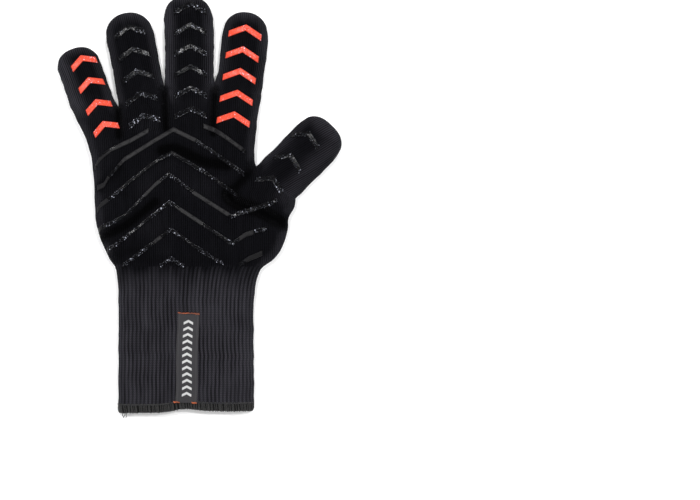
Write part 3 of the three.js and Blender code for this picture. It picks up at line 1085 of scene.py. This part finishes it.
def mouth_sway(x):
    """How far the mouth of the cuff waves along the cuff, at x."""
    hump = 2.4 * np.exp(-(((x + 1) / 12) ** 2)) - 1.1 * np.exp(-(((x + 38) / 20) ** 2))
    return 0.9 + hump + 0.3 * np.sin(x / 8) + 0.7 * smooth(6, 30, x)


def swayed(grid):
    """A grid of the cuff that follows the waving mouth more and more over its lowest part."""
    grid[..., 1] += mouth_sway(grid[..., 0]) * smooth(-85, -112, grid[..., 1])
    return grid


def cuff_tone(grid):
    """How light the cuff's yarn is: darker towards the wrist, with small differences between its ribs."""
    x, y = grid[..., 0], grid[..., 1]
    mottle = 0.16 * lattice_noise(x, y * 0.08, 2.9, 17) + 0.12 * lattice_noise(x, y, 11, 18)
    return wrist_fading(y) + mottle


class GLOVE_OT_cuff(bpy.types.Operator):
    """Knit the ribbed cuff and its liner"""

    bl_idname = "glove.cuff"
    bl_label = "Cuff"

    def execute(self, context):
        size = sizes()
        low, high = cuff_edges(MOUTH + HEM_HEIGHT - HEM_LAP, 0, 1.5)
        grid, uv = knitted_tube(low, high, size.ribs, per_wale=10, rise=size.rib_rise / MM, wave=rib_wave)
        grid[..., 0] += RIB_SWAY * lattice_noise(grid[..., 0] / 2, grid[..., 1], 9, 19)
        cuff = mesh_of("cuff_rib", [(swayed(grid), uv)], material("cuff_knit"), cuff_tone)
        bend_at_wrist(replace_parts(cuff, "cuff_shell"))
        low, high = cuff_edges(MOUTH + LINER_SHORT, 0, 3)
        grid, uv = knitted_tube(low, high, wales=50, per_wale=4, rise=0.2, inset=LINER_INSET)
        lining = mesh_of("cuff_lining", [(swayed(grid), uv)], material("liner_knit"))
        bend_at_wrist(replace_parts(lining, "cuff_liner"))
        return finished("cuff_rib", "cuff_lining")


# ---- Hem ----

HEM_INSIDE = 2.6  # how far the middle of the roll lies inside the cuff's outline
HEM_WALL = 1.9  # half the thickness of the roll
HEM_POWER = 0.7  # below 1, the roll's section is flatter than an ellipse
ROLL_SHORT, WRAP_SHORT = 0.9, 0.7  # how far the roll and its threads end short of the hem's two ends
WRAPS = 204  # threads round the mouth
WRAP_GAP = 0.05  # between the roll and these threads


def hem_section(angle, wall, reach):
    """How far outwards and along the cuff the surface of the roll lies at an angle round its section."""
    cosine = np.cos(angle)
    out = -HEM_INSIDE + wall * np.sign(cosine) * np.abs(cosine) ** HEM_POWER
    return out, MOUTH + HEM_HEIGHT / 2 + reach * np.sin(angle)


def mouth_ring(count):
    """Evenly spaced points round the cuff's mouth, with the outward direction at each, in x and z."""
    low, high = cuff_edges(MOUTH, MOUTH + 1, 0.5)
    palm = section_half(low, high, palm_height)[0]
    back = section_half(low, high, back_height, flip=True)[0]
    ring = along(np.vstack([palm, back[1:]]), count + 1)[:-1]
    tangent = np.roll(ring, -1, axis=0) - np.roll(ring, 1, axis=0)
    outward = np.stack([-tangent[:, 2], tangent[:, 0]], axis=1)
    return ring[:, [0, 2]], outward / np.linalg.norm(outward, axis=1, keepdims=True)


def tube_grids(paths, radius, sides):
    """Round threads along paths (threads, points, 3): at each point a ring of sides in the plane square to
    the path, and a closed point at each end."""
    tangent = np.gradient(paths, axis=1)
    tangent /= np.maximum(np.linalg.norm(tangent, axis=2, keepdims=True), 1e-9)
    helper = np.where(np.abs(tangent[..., 2:3]) > 0.9, np.array([1.0, 0, 0]), np.array([0, 0, 1.0]))
    first = np.cross(tangent, helper)
    first /= np.maximum(np.linalg.norm(first, axis=2, keepdims=True), 1e-9)
    second = np.cross(tangent, first)
    angle = np.linspace(0, 2 * math.pi, sides + 1)
    cosine, sine = np.cos(angle)[None, None, :, None], np.sin(angle)[None, None, :, None]
    taper = np.ones(paths.shape[1])
    taper[[0, -1]] = 0
    ring = cosine * first[:, :, None] + sine * second[:, :, None]
    points = paths[:, :, None] + radius * taper[None, :, None, None] * ring
    points[:, :, -1] = points[:, :, 0]
    grids = []
    for thread, reach in zip(points, lengths(paths)):
        uv = np.stack(np.broadcast_arrays((angle / (2 * math.pi))[None, :], reach[:, None]), axis=-1)
        grids.append((thread[:, ::-1], uv[:, ::-1]))
    return grids


def make_roll():
    """The roll: a flat loop from the cuff's outside round its edge to the inside of the liner, swept round
    the mouth."""
    ring, outward = (np.vstack([part, part[:1]]) for part in mouth_ring(420))
    turn = np.linspace(0, 2 * math.pi, 29)
    out, run = hem_section(turn, HEM_WALL, HEM_HEIGHT / 2 - ROLL_SHORT)
    place = ring + outward * out[:, None, None]
    x, z = place[..., 0], place[..., 1]
    y = run[:, None] + mouth_sway(x)
    grid = np.stack([x, y, np.maximum(z, FLOOR_GAP)], axis=-1)
    lap = lengths(grid)[0]
    uv = np.stack(np.broadcast_arrays(lap[None, :] / 1.6, run[:, None] * 2), axis=-1)
    roll = mesh_of("hem_roll", [(grid, uv)], material("hem_knit"))
    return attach(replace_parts(roll, "hem_overlock"), "cuff")


def wrap_paths(radius):
    """Slanted threads that wrap the roll from its outer edge to the inside, each a little out of place."""
    ring, outward = mouth_ring(WRAPS)
    share = np.linspace(0, 1, 13)
    angle = (0.42 - share * 1.55) * math.pi
    out, run = hem_section(angle, HEM_WALL + WRAP_GAP + radius, HEM_HEIGHT / 2 - WRAP_SHORT)
    loose = np.random.default_rng(31).uniform(-0.8, 0.8, (WRAPS, 1))
    sideways = np.stack([outward[:, 1], -outward[:, 0]], axis=1)
    slant = 1.9 * share + loose
    place = ring[:, None] + outward[:, None] * out[:, None] + sideways[:, None] * slant[..., None]
    x, z = place[..., 0], place[..., 1]
    y = run + mouth_sway(x) + loose * 0.3
    return np.stack([x, y, np.maximum(z, radius + FLOOR_GAP)], axis=-1)


def chain_path(radius):
    """The chain along the upper edge of the roll: a thread that weaves once for each wrap."""
    steps = 1200
    ring, outward = mouth_ring(steps)
    wave = np.arange(steps) / steps * WRAPS * 2 * math.pi
    place = ring + outward * (-0.2 + 0.25 * np.sin(wave * 2))[:, None]
    x, z = place[:, 0], place[:, 1]
    y = MOUTH + HEM_HEIGHT - 1.3 + 0.5 * np.sin(wave) + mouth_sway(x)
    chain = np.stack([x, y, np.maximum(z, radius + FLOOR_GAP)], axis=-1)
    return np.vstack([chain, chain[:2]])[None]


# The loose ends at the corner of the mouth, from inside the roll to below it: x, y from the mouth, z.
TAIL = [
    [(-49, 0.3, 6), (-49.5, -1.4, 4), (-50.2, -2.8, 2.2), (-50.9, -4.1, 1.2)],
    [(-48, 0.2, 5), (-48.6, -1.5, 3), (-48.4, -2.9, 1.6), (-49.3, -3.8, 0.8)],
    [(-50.5, 0.3, 7), (-51.3, -1.0, 4), (-51.2, -2.3, 2.4), (-50.2, -3.4, 1.4)],
]
TAIL_THREAD = 0.28  # half the thickness of a loose end


def curve_through_space(points):
    """A Catmull-Rom curve through points in space."""
    flat = curve_through(points[:, :2], 4)
    high = curve_through(points[:, [0, 2]], 4)
    return np.column_stack([flat, high[:, 1]])


def make_overlock():
    """The hem's threads: the wraps, the chain and the loose ends."""
    radius = sizes().thread / MM / 2
    tail = np.array(TAIL) + np.array([0, MOUTH, 0])
    grids = tube_grids(wrap_paths(radius), radius, sides=5)
    grids += tube_grids(chain_path(radius), radius * 0.8, sides=5)
    grids += tube_grids(np.stack([curve_through_space(end) for end in tail]), TAIL_THREAD, sides=5)
    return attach(mesh_of("hem_overlock_thread", grids, material("hem_thread")), "cuff")


class GLOVE_OT_hem(bpy.types.Operator):
    """Roll the hem and overlock it"""

    bl_idname = "glove.hem"
    bl_label = "Hem"

    def execute(self, context):
        make_roll()
        make_overlock()
        return finished("hem_roll", "hem_overlock_thread")


# ---- Silicone ----

CHEVRON_BAND = 5.2  # width of a chevron's arms
PALM_BAND = 4.3  # width of the palm's bands
PRINT_GRID = 0.33  # spacing of the points across a print
PRINT_SUNK = 0.12  # how far the rim of a print lies in the knit
PRINT_FOOT = 0.35  # how far its lower face lies below the rim
PRINT_ROUND = 0.9  # how far in from the rim a print reaches its full height
ORANGE = ("little", "index")
# rows: how many. first: the lowest tip, measured from the root fold. pitch: from one to the next. side: how
# far off the axis the lowest and the highest tip lie. drop: how far the arms fall over their width. turn:
# degrees. hand_rows, root_rows: how many lie on the hand and on the stall's root. light: painted rim light
# on the knit beside them, towards the little finger and the thumb, and at the tip. lowest: how much more the
# lowest chevron is blistered and carries painted glints.
PRINTS = {
    "little": dict(
        rows=4, first=-24.6, pitch=18.5, side=(3.6, 5.2), width=21, drop=0.52, turn=1.0,
        hand_rows=2, root_rows=1, light=(1.05, 0.20, 0.85), lowest=0.15,
    ),
    "ring": dict(
        rows=5, first=-20.4, pitch=17.8, side=(-0.9, 1.2), width=26, drop=0.5, turn=0,
        hand_rows=2, root_rows=2, light=(0.30, 0.20, 0.45), lowest=0.6,
    ),
    "middle": dict(
        rows=6, first=-19.6, pitch=16.65, side=(1.0, 2.8), width=26, drop=0.52, turn=0,
        hand_rows=2, root_rows=2, light=(1.0, 0.9, 0.85), lowest=0.15,
    ),
    "index": dict(
        rows=5, first=-21.6, pitch=17.45, side=(-1.2, 0.9), width=26.5, drop=0.5, turn=-1.5,
        hand_rows=2, root_rows=2, light=(0.35, 0.60, 0.75), lowest=0.15,
    ),
    "thumb": dict(
        rows=3, first=-3.6, pitch=22.6, side=(-4.5, -9.0), width=24, drop=0.62, turn=17,
        hand_rows=1, root_rows=1, light=(0.52, 0.46, 0.62), lowest=0.15,
    ),
}
# Upper edges of the palm's bands, from the little finger's side to the thumb's.
PALM_BANDS = {
    "palm_band_1_outer": [(-72.3, 79.5), (-69, 86), (-64.5, 90.6), (-58.7, 95), (-44, 101.5), (-29, 110)],
    "palm_band_1_inner": [(13.8, 113.5), (23, 110.2), (33, 103.8), (48, 92.6)],
    "palm_band_2": [
        (-70.3, 64.2), (-64.8, 66.6), (-61.4, 72.4), (-48.5, 86.8), (-24.5, 101.8), (-9.6, 110.6), (9.8, 101),
        (21.3, 93.2), (46.4, 75.4),
    ],
    "palm_band_3": [
        (-70.4, 46), (-67.2, 50.8), (-56.5, 58.6), (-44, 69.6), (-22.2, 86.2), (-10.9, 92.2), (15.6, 76.6),
        (32.7, 64), (41, 57.6),
    ],
    "palm_band_4": [
        (-69.8, 30), (-66.6, 33), (-60, 35.6), (-47.2, 42.8), (-36, 54.8), (-24.5, 66.4), (-13.4, 75.4),
        (7.6, 59.8), (37, 41.2), (40.5, 43.6), (62.4, 50.2), (72.8, 54.4),
    ],
    "palm_band_5": [
        (-62.8, 14.6), (-55, 19.6), (-30, 39.4), (-12.8, 53), (12.1, 36.6), (36.8, 20), (48, 27.4), (64, 32),
    ],
    "palm_band_6": [(-50.2, 2.4), (-30, 17.6), (-11.6, 31.4), (5.3, 19.4), (29.8, 3.4)],
    "palm_band_6_inner": [(42.4, 3), (50, 8), (60.8, 12.6)],
    "palm_band_7": [(-21, 1.8), (-16.5, 5.4), (-11.8, 8.4), (-1, 1.8)],
}
# Stretches of the palm where the silicone lies as smooth satin, and where it is full of blisters that carry
# painted glints: x, y, x, y.
SATIN = [
    (-68, 82, -30, 108), (-52, 84, -12, 108), (-9, 108, 8, 99), (15, 111, 42, 95), (9, 56, 31, 43),
    (-3, 43, 10, 35), (-28, 17, -22, 21), (-70, 63, -63, 68), (-70, 46, -65, 51), (50, 7, 60, 11),
    (-30, 58, -23, 65), (42, 21, 50, 27),
]
BLISTERS_AND_GLINTS = [
    (47, 73, 41, 77), (11, 98, 18, 94), (15, 75, 21, 71), (-13, 73, -1, 65), (36, 19, 39, 22),
    (-60, 15, -50, 23), (-24, 42, -13, 51), (-48, 4, -28, 18), (12, 12, 29, 3), (-20, 2, -3, 3),
    (-12, 29, -7, 26), (62, 48, 74, 54), (-57, 57, -52, 61), (58, 31, 64, 32), (-62, 34, -58, 36),
    (40, 40, 48, 46),
]


def print_tone(grid):
    """1 on the satin stretches of the palm's prints, -1 on the blistered ones where painted glints gather,
    and about 0 between them.
    """
    points = grid[..., :2].reshape(-1, 2)
    tones = 0.12 * lattice_noise(points[:, 0], points[:, 1], 4, 12)
    for places, value in ((SATIN, 1), (BLISTERS_AND_GLINTS, -1)):
        near = np.min([distance_to(points, np.array(place, float).reshape(2, 2)) for place in places], axis=0)
        tones = tones + value * smooth(5.5, 2.0, near)
    return tones.reshape(grid.shape[:2])


def chevron_tone(digit):
    """The tone of a digit's chevrons: blisters with painted glints mostly on the arm towards the thumb and on
    the lowest chevron, in varying amounts, and more of them in the orange silicone."""
    spec = PRINTS[digit.name]
    amount = 2.2 if digit.name in ORANGE else 1

    def tone_at(grid):
        s, lateral = digit.local(grid[..., 0], grid[..., 1])
        patches = 0.3 * lattice_noise(s, lateral, 8, 4 + len(digit.name))
        share = 0.08 + 0.24 * smooth(-6, 8, lateral - sum(spec["side"]) / 2)
        return patches - share * amount - spec["lowest"] * smooth(0, -20, s)

    return tone_at


def print_pad(upper, drop_way, band, seed, wale_way):
    """A pad of silicone on the palm side. Its upper edge is a line of plan points, and its lower edge lies
    a band's width off in the direction drop_way. Both faces meet at the rim: the upper one swells up from
    it by a quarter of a circle and carries lumps and the wales beneath, which lie a pitch apart in the
    direction wale_way, and the lower one is sunk into the knit."""
    across = np.linspace(0, 1, round(band / PRINT_GRID) + 1)
    plan = upper[:, None, :] + across[None, :, None] * band * np.array(drop_way)
    x, y = plan[..., 0], plan[..., 1]
    run = lengths(upper[None])[0]
    from_sides = np.minimum(across, 1 - across)[None, :] * band
    from_ends = np.minimum(run, run[-1] - run)[:, None]
    from_rim = np.minimum(from_sides, from_ends)
    uneven = from_rim + 0.128 * lattice_noise(x * 1.7, y * 1.7, 1.5, seed)
    swell = np.sqrt(np.clip(1 - (1 - np.clip(uneven / PRINT_ROUND, 0, 1)) ** 2, 0, 1))
    ribs = 0.07 * wale_wave((x * wale_way[0] + y * wale_way[1]) * MM / sizes().wale)
    lumps = 0.4 * np.clip(lattice_noise(x, y, 1.9, seed + 1) - 0.3, 0, 1)
    rim = palm_height(x, y) - PRINT_SUNK
    top = rim + np.where(from_rim > 0, swell * (sizes().print_rise / MM + ribs + lumps), 0)
    under = rim - np.where(from_rim > 0, PRINT_FOOT, 0)
    faces = [np.concatenate([plan, z[..., None]], axis=2) for z in (top, under)]
    grid = np.concatenate([faces[0], faces[1][:, ::-1]], axis=1)
    return grid, grid[..., :2]


def bent_line(points, step=0.4):
    """A polyline read about every step, with its corners kept."""
    corners = np.array(points, float)
    parts = []
    for a, b in zip(corners[:-1], corners[1:]):
        count = max(2, round(np.linalg.norm(b - a) / step))
        parts.append(a + (b - a) * np.linspace(0, 1, count, endpoint=False)[:, None])
    return np.vstack([*parts, corners[-1:]])


def make_chevron(digit, row):
    """One chevron of a digit: attached to the hand for the rows on it, otherwise baked in place over the
    stall.
    """
    spec = PRINTS[digit.name]
    low_side, high_side = spec["side"]
    side = low_side + (high_side - low_side) * row / (spec["rows"] - 1)
    half, fall = spec["width"] / 2, spec["width"] / 2 * spec["drop"]
    arms = bent_line([(-half, -fall), (0, 0), (half, -fall)])
    cosine, sine = math.cos(math.radians(spec["turn"])), math.sin(math.radians(spec["turn"]))
    turned = arms @ np.array([[cosine, sine], [-sine, cosine]])
    s = spec["first"] + row * spec["pitch"] + turned[:, 1]
    upper = digit.plan(s, side + turned[:, 0])
    down = sine * digit.side - cosine * digit.axis
    pad = print_pad(upper, down, CHEVRON_BAND, 40 + row, digit.side)
    name = f"{digit.name}_chevron_{row + 1}"
    hue = "orange" if digit.name in ORANGE else "black"
    rubber = material(f"{hue}_silicone")
    piece = mesh_of(f"{name}_silicone", [pad], rubber, chevron_tone(digit))
    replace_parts(piece, name)
    if row < spec["hand_rows"]:
        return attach(piece, "hand")
    return bend_with(piece, digit, "root" if row < spec["hand_rows"] + spec["root_rows"] else "tip")


def make_band(number, name, points):
    """One silicone band of the palm."""
    pad = print_pad(bent_line(points), (0, -1), PALM_BAND, 70 + 3 * number, (1, 0))
    piece = mesh_of(f"{name}_silicone", [pad], material("black_silicone"), print_tone)
    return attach(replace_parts(piece, name), "hand")


class GLOVE_OT_prints(bpy.types.Operator):
    """Print the silicone chevrons and bands on the palm side"""

    bl_idname = "glove.prints"
    bl_label = "Silicone prints"

    def execute(self, context):
        for digit in DIGITS.values():
            for row in range(PRINTS[digit.name]["rows"]):
                make_chevron(digit, row)
        for number, (name, points) in enumerate(PALM_BANDS.items()):
            make_band(number, name, points)
        chevrons = [f"{name}_chevron_{row + 1}" for name in DIGITS for row in range(PRINTS[name]["rows"])]
        return finished(*(f"{name}_silicone" for name in (*chevrons, *PALM_BANDS)))


# ---- Label ----

# turn: how far the label lies turned on the cuff. above: how high it lies over the ribs. thickness: of the
# tape.
LABEL = dict(width=17.0, length=71.0, turn=math.radians(-1.5), above=0.6, thickness=0.45)
# Bar-tacks: left and right end across the label, place along it from its middle, and width.
TACKS = {
    "upper": [(-8.4, 8.6, 35.7, 0.22), (5.4, 8.8, 35.3, 0.6)],
    "lower": [(-10.2, -5.2, -35.1, 0.3), (4.4, 8.6, -35.3, 0.5)],
}
TACK_PITCH, TACK_ABOVE = 0.6, 0.9  # from one stitch to the next, and height over the ribs


def on_label(across, down):
    """Plan points at distances across and along the label from its middle."""
    middle = (LABEL_LOW[:2] + LABEL_HIGH[:2]) / 2 - WRIST[:2]
    cosine, sine = math.cos(LABEL["turn"]), math.sin(LABEL["turn"])
    return middle + np.stack([across * cosine - down * sine, across * sine + down * cosine], axis=-1)


def label_tape():
    """The label as a sheet over the ribs: flat across, with a slow ripple along it, curled up edges and
    slightly wavy sides."""
    u, v = np.linspace(0, 1, 35)[None, :], np.linspace(0, 1, 90)[:, None]
    waver = 0.35 * np.sin(v * 7 + 0.6) * (1 - np.abs(2 * v - 1) ** 6)
    across = (u - 0.5) * LABEL["width"] + waver
    plan = on_label(across, np.broadcast_to((v - 0.5) * LABEL["length"], across.shape))
    ripple = 0.3 * np.sin(v * 19 + 1) * (1 - np.abs(2 * v - 1) ** 4)
    curl = 0.5 * np.abs(2 * u - 1) ** 5 * (1 - np.abs(2 * v - 1) ** 8)
    z = palm_height(plan[..., 0], plan[..., 1]) + LABEL["above"] + ripple + curl
    uv = np.stack(np.broadcast_arrays(u, v * LABEL["length"]), axis=-1)
    return np.concatenate([plan, z[..., None]], axis=2), uv


def make_tack(end):
    """The bar-tacks of one end of the label: dense zigzags of thread that rise and dip over the tape."""
    grids = []
    for left, right, at, width in TACKS[end]:
        count = round((right - left) / TACK_PITCH)
        share = np.linspace(0, 1, count * 8 + 1)
        angle = share * count * math.pi * 2
        wobble = 0.25 * lattice_noise(share * 14, share * 0, 1, 51)
        plan = on_label(left + (right - left) * share, at + width * np.sin(angle) + wobble)
        z = palm_height(plan[:, 0], plan[:, 1]) + TACK_ABOVE + 0.3 * np.cos(angle / 3)
        grids += tube_grids(np.column_stack([plan, z])[None], sizes().tack / MM / 2, sides=6)
    piece = mesh_of(f"label_tack_{end}_thread", grids, material("tack_thread"))
    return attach(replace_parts(piece, f"label_tack_{end}"), "cuff")


class GLOVE_OT_label(bpy.types.Operator):
    """Lay the woven label on the cuff and tack it down"""

    bl_idname = "glove.label"
    bl_label = "Label"

    def execute(self, context):
        tape = mesh_of("woven_tape", [label_tape()], material("label_tape"))
        wall = tape.modifiers.new("thickness", "SOLIDIFY")
        wall.thickness, wall.offset = LABEL["thickness"] * MM, -1
        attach(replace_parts(tape, "woven_label"), "cuff")
        tacks = [make_tack(end) for end in TACKS]
        return finished("woven_tape", "label_tack_upper_thread", "label_tack_lower_thread")


# ---- Stage ----

FLOOR = 6.0  # half the side of the floor, in metres
# Six low softboxes all round, and two small lamps overhead for glints in the silicone, in metres and watts.
SOFTBOX_WATTS = (8, 11, 10, 8, 6, 7)
SOFTBOX_AWAY, SOFTBOX_HIGH, SOFTBOX_SIZE = 1.6, 0.95, 0.7
GLINTS = {"glint_right": ((0.52, 0.22, 2.2), 22), "glint_left": ((-0.30, 0.42, 2.2), 20)}
GLINT_SIZE = 0.14
SKY_STRENGTH = 0.08
CAMERA_HIGH = 2.6  # metres above the floor
VIEW_WIDE = 0.56  # metres of floor across the view
VIEW_MIDDLE = (130.4, 130.4)  # off the middle of the mouth, towards the thumb and the fingertips
SENSOR = 36.0  # width of the camera's sensor


def hang_light(name, place, size, power):
    """A square soft light that faces the glove."""
    data = bpy.data.lights.new(name, "AREA")
    data.size, data.energy = size, power
    lamp = bpy.data.objects.new(name, data)
    lamp.location = place
    back = np.array(place) / np.linalg.norm(place)
    lamp.rotation_euler = (math.acos(back[2]), 0, math.atan2(back[1], back[0]) + math.pi / 2)
    bpy.context.scene.collection.objects.link(lamp)


def set_camera(scene):
    """The camera, straight above the floor and looking down."""
    camera = bpy.data.cameras.new("camera")
    camera.sensor_width = SENSOR
    camera.lens = SENSOR * CAMERA_HIGH / VIEW_WIDE
    camera.clip_end = 20
    holder = bpy.data.objects.new("camera", camera)
    right, up = to_metres(np.array([VIEW_MIDDLE[0], VIEW_MIDDLE[1] + MOUTH, 0]))[:2]
    holder.location = (right, up, CAMERA_HIGH)
    scene.collection.objects.link(holder)
    scene.camera = holder


class GLOVE_OT_stage(bpy.types.Operator):
    """Lay the floor, hang the soft lights and set the camera"""

    bl_idname = "glove.stage"
    bl_label = "Stage"

    def execute(self, context):
        scene = context.scene
        floor = bpy.data.meshes.new("floor")
        corners = [(-FLOOR, -FLOOR, 0), (FLOOR, -FLOOR, 0), (FLOOR, FLOOR, 0), (-FLOOR, FLOOR, 0)]
        floor.from_pydata(corners, [], [(0, 1, 2, 3)])
        floor.materials.append(floor_material())
        ground = bpy.data.objects.new("floor", floor)
        scene.collection.objects.link(ground)
        for number, power in enumerate(SOFTBOX_WATTS):
            angle = math.radians(360 / len(SOFTBOX_WATTS) * number + 20)
            place = (SOFTBOX_AWAY * math.cos(angle), SOFTBOX_AWAY * math.sin(angle), SOFTBOX_HIGH)
            hang_light(f"softbox_{number}", place, SOFTBOX_SIZE, power)
        for name, (place, power) in GLINTS.items():
            hang_light(name, place, GLINT_SIZE, power)
        world = bpy.data.worlds.new("studio")
        world.use_nodes = True
        sky = world.node_tree.nodes["Background"]
        sky.inputs["Color"].default_value = (1, 1, 1, 1)
        sky.inputs["Strength"].default_value = SKY_STRENGTH
        scene.world = world
        scene.view_settings.view_transform = "Standard"
        set_camera(scene)
        return finished("floor")


class GLOVE_PT_panel(bpy.types.Panel):
    """Settings and pieces of the glove"""

    bl_idname = "GLOVE_PT_panel"
    bl_label = "Heat Resistant Glove"
    bl_space_type = "VIEW_3D"
    bl_region_type = "UI"
    bl_category = "Glove"

    def draw(self, context):
        for settings in (context.scene.glove_sizes, context.scene.glove_colours):
            column = self.layout.column()
            for name in settings.__annotations__:
                column.prop(settings, name)
        for operator in OPERATORS:
            self.layout.operator(operator.bl_idname)


OPERATORS = (
    GLOVE_OT_stage,
    GLOVE_OT_stalls,
    GLOVE_OT_hand,
    GLOVE_OT_cuff,
    GLOVE_OT_hem,
    GLOVE_OT_prints,
    GLOVE_OT_label,
)
CLASSES = (GloveSizes, GloveColours, *OPERATORS, GLOVE_PT_panel)


def register():
    for cls in CLASSES:
        bpy.utils.register_class(cls)
    bpy.types.Scene.glove_sizes = bpy.props.PointerProperty(type=GloveSizes)
    bpy.types.Scene.glove_colours = bpy.props.PointerProperty(type=GloveColours)


def unregister():
    del bpy.types.Scene.glove_colours
    del bpy.types.Scene.glove_sizes
    for cls in reversed(CLASSES):
        bpy.utils.unregister_class(cls)


def main():
    register()
    bpy.ops.glove.stage()
    bpy.ops.glove.stalls()
    bpy.ops.glove.hand()
    bpy.ops.glove.cuff()
    bpy.ops.glove.hem()
    bpy.ops.glove.prints()
    bpy.ops.glove.label()


if __name__ == "__main__":
    main()
